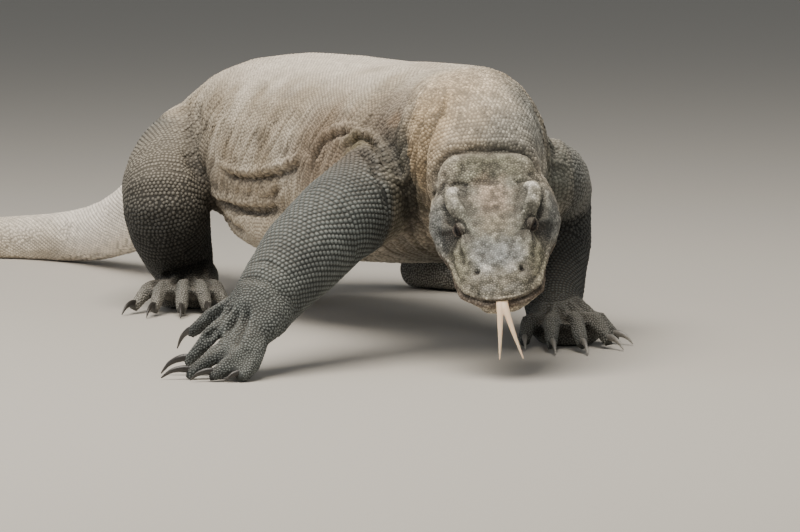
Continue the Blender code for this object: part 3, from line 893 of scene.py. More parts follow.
    def shape_head(self, head: Array, tree: BVHTree) -> None:
        """Swell the brow bumps and jaw muscles, sink nostrils and ears, and cut the mouth.

        Args:
            head: The skin's points in the head's frame.
            tree: A search tree over the surface.
        """
        clay = self.clay
        heights = np.zeros(len(head))
        marks = metres((  # (x, y, z), radius, height in millimetres
            ((45, -47, 34), 7.5, 3.6),
            ((40, -78, 31), 6.5, 1.2),
            ((43, -14, 42), 17, 5.8),
            ((64, -50, -4), 22, 2.4),
            ((13, -164, 16), 7, 2.6),
            ((28, -170, 6), 9, 1.4),
            ((0, -75, 33), 20, -1.8),
            ((25.5, -161.5, 14), 4.2, -4.2),
            ((69, -14, -2), 5.5, -4),
        ))
        for (x, y, z), radius, height in marks:
            for side in (1, -1) if x else (1,):
                centre = HEAD.inverted() @ tree.find_nearest(HEAD @ Vector((x * side, y, z)))[0]
                gap = lengths(head - np.array(centre)) / radius
                heights += height * np.exp(-(gap**2))
        clay.push(heights)
        clay.write()
        Fold(in_head(*MOUTH_LINE), 0.0020, 0.0038, 0.40).press(clay, tree)
        lower_lip = in_head(*((x, y, z - 0.0065) for x, y, z in MOUTH_LINE))
        Fold(lower_lip, 0.0035, -0.0014, 0.0).press(clay, tree)

    def open_eye(self, eye: "Eye") -> None:
        """Draw the skin close over the eyeball, and in under its surface inside an almond between the lids.

        Args:
            eye: Which eye.
        """
        clay = self.clay
        gaze, along, up = (np.array(axis) for axis in eye.axes())
        away = clay.places - np.array(eye.centre())
        reach = lengths(away)
        near = np.flatnonzero((reach < 0.026) & (away @ gaze > -0.002))
        way = away[near] / np.maximum(reach[near], 1e-6)[:, None]
        turn = np.arccos(np.clip(way @ gaze, -1, 1))
        flat = away[near] - (away[near] @ gaze)[:, None] * gaze
        flat /= np.maximum(lengths(flat), 1e-9)[:, None]
        across, rise = turn * (flat @ along), turn * (flat @ up)
        outside = eye.outside(across, rise)
        bare = eye.radius - 0.0016
        lid = eye.radius + 0.0012 + 0.0010 * np.exp(-(((outside - 0.36) / 0.09) ** 2))
        wanted = bare + (lid - bare) * ease(outside, 0.10, 0.24)
        hold = ease(turn, 1.50, 0.95)
        new_reach = reach[near] * (1 - hold) + wanted * hold
        clay.places[near] = np.array(eye.centre()) + way * new_reach[:, None]

    def find_parts(self) -> None:
        """Work out, point by point, which part of the body the finished skin belongs to."""
        flesh, names = self.flesh_tree()
        self.part = np.array([names[flesh.find_nearest(Vector(place))[2]] for place in self.clay.places])
        self.limb_share = self.within("arm", "hand", "foot", "thigh", "shank").astype(float)
        for _ in range(80):
            self.limb_share = self.clay.average(self.limb_share)

    def within(self, *words: str) -> Array:
        """Tell which points belong to a part that has one of these words in its name."""
        return np.any([np.char.find(self.part, word) >= 0 for word in words], axis=0)


# ---- colour ----
@dataclass(frozen=True)
class Blotch:
    """A soft-edged patch of one colour on the hide.

    Attributes:
        colour: sRGB hex.
        centre: Its middle.
        size: Its reach along x, y and z.
        strength: How much of the colour shows in the middle.
        ragged: How far noise breaks its edge.
    """

    colour: str
    centre: Place
    size: Place
    strength: float
    ragged: float = 0.25


def blotches(*rows: tuple) -> list[Blotch]:
    """Make blotches of rows whose centres and sizes are in millimetres."""
    return [Blotch(colour, *metres((centre, size)), *shares) for colour, centre, size, *shares in rows]


# (colour, centre and size in millimetres, strength, ragged where it isn't the usual)
BODY_BLOTCHES = blotches(
    ("#dcd1c1", (74, -300, 335), (160, 420, 65), 0.85),
    ("#a89a86", (74, -100, 300), (160, 160, 80), 0.35),
    ("#7c6a56", (-75, -560, 225), (60, 120, 85), 0.75),
    ("#77704f", (-80, -655, 238), (35, 50, 30), 0.55),
    ("#7a6c5d", (-62, -700, 285), (40, 60, 50), 0.55),
    ("#93704a", (-62, -728, 278), (10, 26, 12), 0.30),
    # dark greenish-brown skin between the neck and the right forelimb, deepened with painted shade
    ("#57564c", (-78, -755, 195), (40, 70, 85), 0.90),
    ("#5c5e57", (160, -715, 235), (85, 75, 100), 0.92),
    ("#565850", (120, -770, 190), (75, 85, 90), 0.90),
    # painted shade under the chest, between the forelimbs
    ("#4b4840", (20, -700, 100), (150, 120, 55), 0.80),
    ("#9f8a6b", (-60, -830, 265), (75, 60, 100), 0.85),
    ("#b9a68b", (-10, -800, 325), (60, 70, 30), 0.65),
    ("#80817b", (75, -850, 270), (70, 85, 90), 0.85),
    ("#6f716c", (10, -905, 262), (60, 35, 45), 0.70),
    ("#5f5a4e", (-66, -785, 215), (30, 30, 60), 0.70),
    ("#a89d8b", (-60, -300, 120), (80, 180, 50), 0.50),
    # the tail's pale colour, painted paler still as painted light to make up for the weaker light there
    ("#f2e9dc", (60, 360, 110), (270, 460, 130), 0.95),
    ("#b8ad9a", (-100, 650, 30), (300, 200, 80), 0.50),
    ("#8f8f88", (74, -350, 80), (200, 600, 40), 0.50),
)
# in the head's frame, and mirrored where x isn't 0
HEAD_BLOTCHES = blotches(
    ("#77766b", (0, -90, 20), (100, 130, 80), 1.0, 0.05),
    ("#6a6955", (0, -18, 45), (54, 32, 30), 0.70),
    ("#9f8a76", (0, -62, 36), (26, 34, 20), 0.65),
    ("#8a7d66", (0, -100, 32), (26, 20, 20), 0.50),
    ("#83888a", (12, -142, 22), (22, 26, 18), 0.50),
    ("#565b5c", (66, -70, 0), (22, 50, 30), 0.75),
    ("#79765a", (45, -140, 4), (18, 35, 20), 0.45),
    ("#56564b", (24, -180, 4), (24, 18, 10), 0.60),
    ("#d2cec4", (45, -49, 35), (8, 10, 9), 0.85),
    ("#c2beb4", (44, -68, 33), (5.5, 12, 7), 0.65),
    # painted shade in the eye socket, behind the eye
    ("#3c3b35", (56, -82, 16), (8, 15, 8), 0.70),
    ("#bdbab1", (13, -163, 18), (8, 7, 8), 0.70, 0.5),
    ("#aeaba2", (16, -182, 6), (15, 8, 6), 0.40, 0.5),
    # painted shade in the furrow between brow and cheek, behind the eye
    ("#45453f", (55, -56, 24), (7, 26, 8), 0.70),
    ("#6b4a38", (53.5, -100, 12), (8, 15, 8), 0.60),
    # dark skin round the eye, deepened with painted shade of the socket
    ("#362c25", (44, -98, 20), (13, 15, 13), 0.85, 0.4),
    # painted shade in the nape crease behind the jaw muscles
    ("#3a3a36", (48, 0, 40), (30, 7, 16), 0.60),
    # painted shade in the nostril's opening
    ("#17120f", (25.5, -161.5, 13), (3.8, 3.8, 4.5), 1.00, 0.05),
    # painted shade in the ear opening
    ("#141210", (68, -14, -2), (5, 6, 6), 0.95, 0.05),
)


@dataclass
class HidePaint:
    """The markings of the hide with its painted shade and light, worked out on the skin's points and shared
    by the scales.

    Attributes:
        hide: The sculpted hide.
        sand: Colours of the trunk and tail, from dark to light.
        slate: Colours of the limbs, from dark to light.
        lips: Colour of the line of the mouth, and of the pale lower lip.
        colours: Linear red, green and blue, one row for each point of the skin.
    """

    hide: Hide
    sand: tuple[str, str] = ("#9a8d79", "#bdb2a0")
    slate: tuple[str, str] = ("#3f4241", "#5d615e")
    lips: tuple[str, str] = ("#21100d", "#56473b")
    colours: Array = field(init=False)

    def __post_init__(self) -> None:
        """Colour every point of the skin."""
        places, limbs = self.hide.clay.places, self.hide.limb_share
        head, on_head = head_share(places)
        cloud = 0.5 + 0.5 * np.clip(1.6 * noise(places, 0.055, 11) + 0.8 * noise(places, 0.018, 12), -1, 1)
        streaks = ease(noise(places * np.array((1.0, 0.42, 0.75)), 0.013, 13), 0.1, 0.7)
        sand = self.between(self.sand, cloud) * (1 - 0.24 * streaks * (1 - limbs))[:, None]
        slate = ease(limbs + 0.16 * noise(places, 0.014, 19), 0.22, 0.80)
        self.colours = sand + slate[:, None] * (self.between(self.slate, cloud) - sand)
        self.limb_tones(places)
        for blotch in BODY_BLOTCHES:
            self.apply(blotch, places, 1 - ease(limbs, 0.3, 0.8))
        for blotch in HEAD_BLOTCHES:
            self.apply(blotch, head, on_head)
            if blotch.centre[0]:
                self.apply(blotch, head * (-1, 1, 1), on_head)
        self.speckle(places, on_head)
        self.colour_mouth(places)
        hollow = self.hollows(self.hide.clay)
        # painted shade darkens the furrows and painted light brightens the ridges
        self.colours *= (1 - 0.58 * np.maximum(hollow, 0) + 0.16 * np.maximum(-hollow, 0))[:, None]

    def hollows(self, clay: Clay) -> Array:
        """Measure how far each point lies in a furrow, where shade is painted in, or on a ridge, where light
        is painted on.

        Args:
            clay: The sculpted surface.

        Returns:
            1 in a furrow, 0 on the flat and -1 on a ridge.
        """
        span = lengths(clay.places[clay.edges[:, 0]] - clay.places[clay.edges[:, 1]])
        count = len(clay.places)
        total = np.bincount(clay.edges.ravel(), weights=np.repeat(span, 2), minlength=count)
        length = total / np.maximum(np.bincount(clay.edges.ravel(), minlength=count), 1)
        bend = ((clay.average(clay.places) - clay.places) * clay.normals).sum(1)
        fine = 4 * bend / length**2
        for _ in range(3):
            fine = clay.average(fine)
        wide = fine
        for _ in range(14):
            wide = clay.average(wide)
        return np.clip(fine / 190 + wide / 75, -1, 1)

    def between(self, pair: tuple[str, str], share: Array) -> Array:
        """Mix two sRGB colours by a share for each point."""
        low, high = map(linear, pair)
        return low + share[:, None] * (high - low)

    def tint(self, colour: str, share: Array) -> None:
        """Mix one sRGB colour in, by a share for each point."""
        self.colours += share[:, None] * (linear(colour) - self.colours)

    def limb_tones(self, places: Array) -> None:
        """Warm the tops of the limbs, darken their lower lengths with painted shade on the left forearm and
        right hind leg, and dust the feet.

        Args:
            places: The skin's points.
        """
        tones = (  # (colour, (centre, reach) in millimetres, strength)
            ("#4f483f", ((-90, -712, 232), 70), 0.85),
            # painted shade over the left forearm
            ("#272827", ((215, -645, 105), 110), 0.85),
            # painted shade over the right shank
            ("#282725", ((-70, -140, 85), 85), 0.80),
            ("#5c6260", ((-170, -800, 180), 80), 0.4),
            # painted shade over the right knee and shank
            ("#292825", ((-100, -135, 120), 85), 0.8),
            ("#77746c", ((165, -770, 15), 60), 0.5),
            ("#84837c", ((220, -640, 215), 60), 0.7),
            ("#7e776a", ((-85, -120, 205), 80), 0.8),
            ("#7e776a", ((240, -40, 225), 80), 0.8),
            ("#45443f", ((330, -110, 85), 55), 0.5),
        )
        for colour, patch, strength in tones:
            centre, reach = metres(patch)
            gap = lengths(places - np.array(centre))
            self.tint(colour, strength * ease(gap, reach * 1.6, reach * 0.3))
        low = ease(places[:, 2], 0.055, 0.010) * ease(places[:, 1], -0.30, -0.20)
        low *= ease(places[:, 1], 0.10, 0.04)
        self.tint("#99948a", 0.55 * low)

    def apply(self, blotch: Blotch, local: Array, hold: Array) -> None:
        """Lay one blotch on, with noise to break its edge.

        Args:
            blotch: What to lay on.
            local: The skin's points in the blotch's own frame.
            hold: How much of it each point may take.
        """
        edge = 1 + blotch.ragged * noise(self.hide.clay.places, 0.45 * min(blotch.size), 17)
        gap = lengths((local - blotch.centre) / np.array(blotch.size)) * edge
        self.tint(blotch.colour, blotch.strength * hold * ease(gap, 1.25, 0.35))

    def speckle(self, places: Array, on_head: Array) -> None:
        """Scatter pale and dark flecks, a few scales across, strongest on the head and neck.

        Args:
            places: The skin's points.
            on_head: How much each is on the head.
        """
        near_neck = ease(places[:, 1], -0.70, -0.80)
        fine = noise(places, 0.0036, 21)
        coarse = noise(places, 0.0090, 22)
        amount = 0.10 + 0.32 * np.maximum(on_head, near_neck * (1 - self.hide.limb_share))
        self.colours *= (1 + amount * np.clip(1.7 * fine + 0.4 * coarse, -1, 1))[:, None]

    def colour_mouth(self, places: Array) -> None:
        """Darken the line of the mouth and pale the lip below it.

        Args:
            places: The skin's points.
        """
        line = np.array(spline([Vector(place) for place in in_head(*MOUTH_LINE)], 6))
        down = np.array(HEAD.to_3x3() @ Vector((0, 0.0016, -0.0050)))
        near = np.flatnonzero(lengths(places - line[len(line) // 2]) < 0.16)
        strokes = ((self.lips[1], down, 0.0050, 0.75), (self.lips[0], down * -0.15, 0.0040, 0.90))
        for colour, shift, width, strength in strokes:
            gap = np.full(len(places), np.inf)
            for place in line:
                gap[near] = np.minimum(gap[near], lengths(places[near] - place - shift))
            self.tint(colour, strength * ease(gap, width * 1.3, width * 0.5))


@dataclass(frozen=True)
class ScaledHide:
    """Dry reptile hide: beads of horn over thin skin, dusty, with no oil to make it shine.

    Horn gives the beads a low satin gloss on their crowns and the dusty skin between them is matt; shade is
    painted between the beads and highlight on their crowns.
    """

    grain: float = 0.0009  # fine pitting of the horn, about 1 mm
    dust: str = "#b8ab97"

    def build(self) -> Material:
        """Make the material that skin and scales share."""
        material, tree = new_material("scaled_hide")
        paint = add_node(tree, "ShaderNodeAttribute", attribute_name="paint").outputs["Color"]
        crown = add_node(tree, "ShaderNodeAttribute", attribute_name="crown").outputs["Fac"]
        tone = add_node(tree, "ShaderNodeAttribute", attribute_name="tone").outputs["Fac"]
        place = add_node(tree, "ShaderNodeTexCoord").outputs["Object"]
        cloudy = {"Vector": place, "Scale": 95.0, "Detail": 4.0, "Roughness": 0.6}
        cloud = add_node(tree, "ShaderNodeTexNoise", cloudy).outputs["Fac"]
        pitted = {"Vector": place, "Scale": 1 / self.grain, "Detail": 2.0}
        pits = add_node(tree, "ShaderNodeTexNoise", pitted).outputs["Fac"]
        # the noise below is random mottling; the crown term after it is painted shade between the beads and a
        # painted highlight on their crowns
        shade = self.remap(tree, cloud, (0.3, 0.7), (0.86, 1.12))
        crown_light_and_shade = self.remap(tree, crown, (0.0, 1.0), (0.42, 1.14))
        both = add_node(tree, "ShaderNodeMath", {0: shade, 1: crown_light_and_shade}, operation="MULTIPLY").outputs[0]
        tones = add_node(tree, "ShaderNodeMath", {0: both, 1: tone}, operation="MULTIPLY").outputs[0]
        toned = {0: paint, "Scale": tones}
        tinted = add_node(tree, "ShaderNodeVectorMath", toned, operation="SCALE").outputs[0]
        normal = add_node(tree, "ShaderNodeNewGeometry").outputs["Normal"]
        upward = add_node(tree, "ShaderNodeSeparateXYZ", {0: normal}).outputs["Z"]
        lying = self.remap(tree, upward, (0.35, 1.0), (0.0, 0.14))  # dust lies where the skin faces up
        dusty = {0: lying, 6: tinted, 7: (*linear(self.dust), 1.0)}
        dusted = add_node(tree, "ShaderNodeMix", dusty, data_type="RGBA").outputs[2]
        rough = self.remap(tree, crown, (0.0, 1.0), (0.85, 0.56))
        bump = add_node(tree, "ShaderNodeBump", {"Strength": 0.35, "Distance": 0.0003, "Height": pits})
        dry = {"Base Color": dusted, "Roughness": rough, "IOR": 1.50, "Specular IOR Level": 0.38}
        add_surface(tree, dry | {"Normal": bump.outputs["Normal"]})
        return material

    def remap(
        self, tree: NodeTree, value: NodeSocket, span: tuple[float, float], new: tuple[float, float]
    ) -> NodeSocket:
        """Bring values from one span to another.

        Args:
            tree: The material's node tree.
            value: The values.
            span: Their lowest and highest.
            new: What those two become.

        Returns:
            The new values.
        """
        ends = {"From Min": span[0], "From Max": span[1], "To Min": new[0], "To Max": new[1]}
        return add_node(tree, "ShaderNodeMapRange", {"Value": value, **ends}).outputs["Result"]


def store(mesh: Mesh, name: str, values: Array) -> None:
    """Keep a number or a colour for each point of a mesh.

    Args:
        mesh: The mesh.
        name: The attribute's name, which the material reads.
        values: One number, or one linear colour, for each point.
    """
    if values.ndim == 1:
        mesh.attributes.new(name, "FLOAT", "POINT").data.foreach_set("value", values.astype(np.float32))
    else:
        full = np.concatenate((values, np.ones((len(values), 1))), axis=1).astype(np.float32)
        mesh.attributes.new(name, "FLOAT_COLOR", "POINT").data.foreach_set("color", full.ravel())


def triangle_mesh(points: Array, faces: Array) -> Mesh:
    """Make a smooth mesh of triangles.

    Args:
        points: Every point's three coordinates, in any nesting.
        faces: The three points of each triangle.

    Returns:
        The mesh.
    """
    mesh = bpy.data.meshes.new("scales")
    mesh.vertices.add(points.size // 3)
    mesh.vertices.foreach_set("co", points.ravel())
    mesh.loops.add(faces.size)
    mesh.loops.foreach_set("vertex_index", faces.ravel())
    mesh.polygons.add(len(faces))
    mesh.polygons.foreach_set("loop_start", np.arange(0, faces.size, 3))
    mesh.update(calc_edges=True)
    mesh.validate()
    mesh.shade_smooth()
    return mesh


# ---- scales ----
@dataclass(frozen=True)
class Bead:
    """The shape of one scale: a low six-sided dome, modelled once and stamped many times.

    Attributes:
        corners: Its points, one unit wide from the middle to a rim corner and one unit high.
        faces: Its triangles.
        crown: How high each point stands, from 0 at the rim to 1 at the top.
    """

    corners: Array
    faces: Array
    crown: Array

    @staticmethod
    def model() -> "Bead":
        """Model the dome: a hexagon, inset and raised, with a raised middle."""
        clear_selection()
        bpy.ops.mesh.primitive_circle_add(vertices=6, radius=1.0, fill_type="NGON")
        bead = bpy.context.object
        with editing(bead):
            bpy.ops.mesh.inset(thickness=0.28, depth=0.74)
            bpy.ops.mesh.poke(offset=0.26)
            bpy.ops.mesh.select_all(action="SELECT")
            bpy.ops.mesh.quads_convert_to_tris()
            bpy.ops.mesh.normals_make_consistent(inside=False)
        corners = np.array([vertex.co for vertex in bead.data.vertices])
        faces = np.array([polygon.vertices[:] for polygon in bead.data.polygons])
        if bead.data.polygons[-1].normal.z < 0:
            faces = faces[:, ::-1]
        bpy.data.objects.remove(bead)
        crown = np.clip(corners[:, 2], 0, 1)
        corners[:, 0] += 0.16 * crown  # each dome leans towards the tail
        return Bead(corners, faces, crown)


@dataclass
class Coat:
    """All the scales of the hide, as joined meshes.

    Attributes:
        hide: The skin that they grow on.
        colours: The skin's markings and painted shade, point by point.
        seed: Picks the places and sizes of the scattered scales.
        most: The most scales in one piece.
        slant: How far the rows lean, towards the head at the top of the body.
        rays: How many points each ring of scales is traced by.
        cell: The size of the cells in which near scales are looked up.
        sunk: How far every rim sinks into the skin.
        patch: Half the width of each scale's patch on the map.
        pieces: The finished meshes.
    """

    hide: Hide
    colours: Array
    seed: int = 7
    most: int = 10_500
    slant: float = 0.35
    rays: int = 72
    cell: float = 0.007
    sunk: float = 0.0004
    patch: float = 0.0013
    pieces: list[Object] = field(default_factory=list)

    def __post_init__(self) -> None:
        """Find every scale's root, then stamp the scales."""
        self.corners_of = [polygon.vertices[:] for polygon in self.hide.skin.data.polygons]
        self.zone_names, self.zone_ids = np.unique(self.hide.part, return_inverse=True)
        self.steps, self.ways = self.lie_of_the_scales()
        self.roots: list[Vector] = []
        self.faces: list[int] = []
        self.gaps: list[float] = []
        self.cells: dict[tuple[int, ...], list[int]] = {}
        for axis in (SPINE, *LIMBS.values()):
            self.lay_rows(axis)
        log.info("%d scales lie in rows", len(self.roots))
        self.in_rows = len(self.roots)
        self.scatter(1.0, 7)
        self.spread(3)
        log.info("%d scales fill the rest", len(self.roots) - self.in_rows)
        self.scatter(0.72, 5)
        log.info("%d scales in all", len(self.roots))
        self.fit_widths()
        self.stamp()

    def lie_of_the_scales(self) -> tuple[Array, Array]:
        """Work out the scales' step and lie at every point of the skin.

        Returns:
            The step between scales and the direction towards their free ends.
        """
        places = self.hide.clay.places
        ratio, ways, steps = SPINE.nearest(places)
        for axis in LIMBS.values():
            other, lies, sizes = axis.nearest(places)
            closer = other < ratio
            ratio, steps = np.where(closer, other, ratio), np.where(closer, sizes, steps)
            ways = np.where(closer[:, None], lies, ways)
        below = ease(self.hide.clay.normals[:, 2], -0.55, -0.85) * (1 - self.hide.limb_share)
        steps = steps * (1 + 0.30 * below)
        head, on_head = head_share(places)
        self.on_head = on_head > 0.5
        snout = ease(head[:, 1], -0.02, -0.15)
        above_eye = np.stack((np.abs(head[:, 0]) - 0.049, head[:, 1] + 0.060, head[:, 2] - 0.030), 1)
        crest = np.exp(-((above_eye / (0.010, 0.030, 0.010)) ** 2).sum(1))
        lips = np.exp(-(((head[:, 2] + 0.010) / 0.010) ** 2)) * (head[:, 1] < -0.06)
        on_head_step = 0.0032 - 0.0005 * snout + 0.0008 * crest + 0.0007 * lips
        steps = np.where(self.on_head, on_head_step, steps)
        tailward = np.array(HEAD.to_3x3() @ Vector((0, 1, 0.15)))
        ways = np.where(self.on_head[:, None], tailward, ways)
        self.on_paw = self.hide.within("hand", "foot")
        steps = np.where(self.on_paw, np.minimum(steps, 0.0037), steps)
        for _, *ends in claw_lines():
            root, point = map(np.array, ends)
            gap = lengths(places - root)
            near = self.on_paw & (gap < 0.060)
            share = ease(gap[near], 0.060, 0.010)
            steps[near] = np.minimum(steps[near], 0.0036 - 0.0007 * share)
            ways[near] = (point - root) / np.linalg.norm(point - root)
        for side in Side:
            reach = Eye(side).gap(places)
            steps = np.where(reach < 0.0165, 0.0022 + 0.0008 * ease(reach, 0.0115, 0.0165), steps)
        return np.maximum(steps, 0.0021), ways

    def free(self, root: Vector, gap: float, share: float) -> bool:
        """Tell whether a scale fits beside those that are laid already.

        Args:
            root: Its place.
            gap: Its step.
            share: How close two scales may come, as a share of their mean step.

        Returns:
            Whether it fits.
        """
        x, y, z = self.cell_of(root)
        for cell in itertools.product((x - 1, x, x + 1), (y - 1, y, y + 1), (z - 1, z, z + 1)):
            for other in self.cells.get(cell, ()):
                if (self.roots[other] - root).length < share * 0.5 * (gap + self.gaps[other]):
                    return False
        return True

    def cell_of(self, root: Vector) -> tuple[int, ...]:
        """The cell that a scale's root is in."""
        return tuple(int(value // self.cell) for value in root)

    def add(self, root: Vector, face: int, gap: float) -> None:
        """Lay one scale.

        Args:
            root: Its place on the skin.
            face: The skin's face under it.
            gap: Its step.
        """
        self.cells.setdefault(self.cell_of(root), []).append(len(self.roots))
        self.roots.append(root)
        self.faces.append(face)
        self.gaps.append(gap)

    def lay_rows(self, axis: BodyAxis) -> None:
        """Lay rings of scales round an axis, in three rounds whose rings stand 0.87 of a step apart.

        Args:
            axis: The axis that the rings go round.
        """
        line = axis.curve(0.87 / 3)
        for first in range(3):  # the second and third rounds fill in where the rings fan out round a bend
            self.lay_rings(line[first::3], 0.74 if first == 0 else 0.84)

    def lay_rings(self, line: list[tuple[Vector, float, float]], closest: float) -> None:
        """Lay one round of rings, each ring half a step on from the one before.

        Args:
            line: Where the rings stand: (place, flesh radius, scales' step).
            closest: How close two scales may come, as a share of their mean step.
        """
        hint = Vector((0, 0, 1))  # where each ring starts, which turns as little as it can from ring to ring
        count = 0
        for index, (place, radius, size) in enumerate(line):
            before, after = line[max(index - 1, 0)][0], line[min(index + 1, len(line) - 1)][0]
            along = (after - before).normalized()
            hint = (hint - hint.dot(along) * along).normalized()
            second = along.cross(hint)
            ring = []
            for ray in range(self.rays):
                turn = 2 * math.pi * ray / self.rays
                way = hint * math.cos(turn) + second * math.sin(turn)
                start = place - along * (self.slant * radius * way.z)
                found = self.hide.tree.ray_cast(start, way, radius * 1.7)[0]
                ring.append(found if found is not None else start + way * radius * 1.7)
            ring.append(ring[0])
            run = np.concatenate(([0], np.cumsum([(b - a).length for a, b in zip(ring, ring[1:])])))
            wanted = run[-1] / size
            if not 0.86 * count < wanted < 1.16 * count:
                count = max(int(round(wanted)), 6)
            start = 0.5 * (index % 2)
            for step in range(count):
                share = (step + start) % count / count * run[-1]
                spot = min(int(np.searchsorted(run, share, "right")) - 1, self.rays - 1)
                part = (share - run[spot]) / max(run[spot + 1] - run[spot], 1e-9)
                root, _, face, _ = self.hide.tree.find_nearest(ring[spot].lerp(ring[spot + 1], part), 0.02)
                if root is None:
                    continue
                corner = self.corners_of[face][0]
                crosswise = self.ways[corner] @ np.array(along) < 0.60
                if crosswise or self.on_head[corner] or self.on_paw[corner]:
                    continue
                gap = float(self.steps[corner])
                if self.free(root, gap, closest):
                    self.add(root, face, gap)

    def scatter(self, smaller: float, effort: int) -> None:
        """Scatter scales over the head and feet, and in whatever gaps are left.

        Args:
            smaller: The scales' step, as a share of the usual one.
            effort: How many places are tried for each scale that there is room for.
        """
        chance = np.random.default_rng(self.seed + effort)
        places = self.hide.clay.places
        corners = np.array([(*face, face[-1])[:4] for face in self.corners_of])
        quad = places[corners]
        area = lengths(np.cross(quad[:, 2] - quad[:, 0], quad[:, 3] - quad[:, 1])) / 2
        area += 0.5 * (corners[:, 2] == corners[:, 3]) * area
        steps = self.steps[corners[:, 0]]
        weight = area / steps**2
        tries = int(weight.sum() * effort)
        faces = np.searchsorted(np.cumsum(weight), chance.random(tries) * weight.sum())
        across, along = chance.random((2, tries, 1))
        spots = quad[faces]
        low = spots[:, 0] + across * (spots[:, 1] - spots[:, 0])
        high = spots[:, 3] + across * (spots[:, 2] - spots[:, 3])
        found = low + along * (high - low)
        for place, face in zip(found, faces):
            root, gap = Vector(place), smaller * float(steps[face])
            if self.free(root, gap, 0.80):
                self.add(root, int(face), gap)

    def spread(self, rounds: int) -> None:
        """Even out the scattered scales by letting close neighbours push each other off.

        Args:
            rounds: How many times every scale moves.
        """
        for _ in range(rounds):
            tree = self.roots_tree()
            for index in range(self.in_rows, len(self.roots)):
                root, gap = self.roots[index], self.gaps[index]
                push = Vector()
                for place, other, span in tree.find_n(root, 7):
                    reach = 0.5 * (gap + self.gaps[other])
                    if other != index and 0 < span < reach:
                        push += (root - place) / span * (reach - span) * 0.40
                found, _, face, _ = self.hide.tree.find_nearest(root + push, 0.01)
                if found is not None:
                    self.roots[index], self.faces[index] = found, face
        self.cells.clear()
        for index, root in enumerate(self.roots):
            self.cells.setdefault(self.cell_of(root), []).append(index)

    def roots_tree(self) -> KDTree:
        """A search tree over the scales' roots."""
        tree = KDTree(len(self.roots))
        for index, root in enumerate(self.roots):
            tree.insert(root, index)
        tree.balance()
        return tree

    def fit_widths(self) -> None:
        """Give every scale the width that its nearest neighbours leave it."""
        tree = self.roots_tree()
        widths = []
        for index, root in enumerate(self.roots):
            spans = sorted(span for _, other, span in tree.find_n(root, 6) if other != index)
            close = sum(spans[:4]) / 4
            widths.append(min(max(close, 0.85 * self.gaps[index]), 1.25 * self.gaps[index]))
        self.widths = np.array(widths)

    def left_out(self, roots: Array, normal: Array) -> Array:
        """Tell which scales aren't stamped: on the flats that take the weight, in the lids, out on a claw.

        Args:
            roots: The scales' places.
            normal: The skin's normals under them.

        Returns:
            Whether each is left out.
        """
        out = (roots[:, 2] < 0.0025) & (normal[:, 2] < -0.5)
        for side in Side:
            out |= Eye(side).gap(roots) < Eye(side).radius + 0.0006
        for _, *ends in claw_lines():
            root, point = map(np.array, ends)
            along = (point - root) / np.linalg.norm(point - root)
            past = (roots - root) @ along
            gap = lengths(roots - root - past[:, None] * along)
            out |= (past > 0.0095) & (past < 0.040) & (gap < 0.010)
        return out

    def stamp(self) -> None:
        """Stamp a bead on every root and join the beads of each part of the body."""
        bead = Bead.model()
        chance = np.random.default_rng(self.seed + 1)
        corners = np.array([(*self.corners_of[face], self.corners_of[face][-1])[:4] for face in self.faces])
        roots = np.array(self.roots)
        normal = self.hide.clay.normals[corners].mean(1)
        normal /= lengths(normal)[:, None]
        ways = self.ways[corners[:, 0]]
        ways = ways - (ways * normal).sum(1)[:, None] * normal
        short = lengths(ways) < 0.05
        ways[short] = np.cross(normal[short], (1.0, 0.0, 0.0))
        ways /= lengths(ways)[:, None]
        across = np.cross(normal, ways)
        limb = self.hide.limb_share[corners].mean(1)
        on_head = self.on_head[corners[:, 0]]
        count = len(roots)
        size = self.widths * (0.575 - 0.025 * limb) * chance.uniform(0.94, 1.05, count)
        ways = ways * (1 + 0.10 * (1 - limb) * ~on_head)[:, None]  # the trunk's and tail's scales are longer
        height = self.widths * (0.13 + 0.09 * limb) * chance.uniform(0.85, 1.15, count)
        motley = 0.070 + 0.130 * np.maximum(on_head, ease(roots[:, 1], -0.70, -0.80) * (1 - limb))
        tone = (1 + motley * chance.normal(0.0, 1.0, count)).clip(0.62, 1.38)
        for side in Side:
            height *= 0.45 + 0.55 * ease(Eye(side).gap(roots), 0.0120, 0.0150)
        paint = self.colours[corners].mean(1)
        maps = SkinMap(self.hide).places(roots)
        zones = np.where(self.left_out(roots, normal), -1, self.zone_ids[corners[:, 0]])
        for zone, name in self.groups().items():
            members = np.flatnonzero(np.isin(zones, zone))
            members = members[np.argsort(roots[members, 1], kind="stable")]
            lots = np.array_split(members, max(1, math.ceil(len(members) / self.most)))
            for part, chosen in enumerate(lots):
                flat = bead.corners * size[chosen, None, None]
                made = roots[chosen, None] + flat[..., :1] * ways[chosen, None]
                made += flat[..., 1:2] * across[chosen, None]
                lift = bead.corners[:, 2] * (height[chosen, None] + self.sunk) - self.sunk
                made += lift[..., None] * normal[chosen, None]
                made[..., 2] = np.maximum(made[..., 2], 0.0003)  # the rims stay clear of the floor
                shift = np.arange(len(chosen))[:, None, None] * len(bead.corners)
                faces = (bead.faces + shift).reshape(-1, 3)
                mesh = triangle_mesh(made, faces)
                # the crown value sets the painted shade at each bead's rim and the painted highlight on its
                # crown
                limbs = np.repeat(limb[chosen], len(bead.crown))
                base = BARE_SKIN * (1 - limbs)
                crown = base + (1 - base) * np.tile(bead.crown, len(chosen))
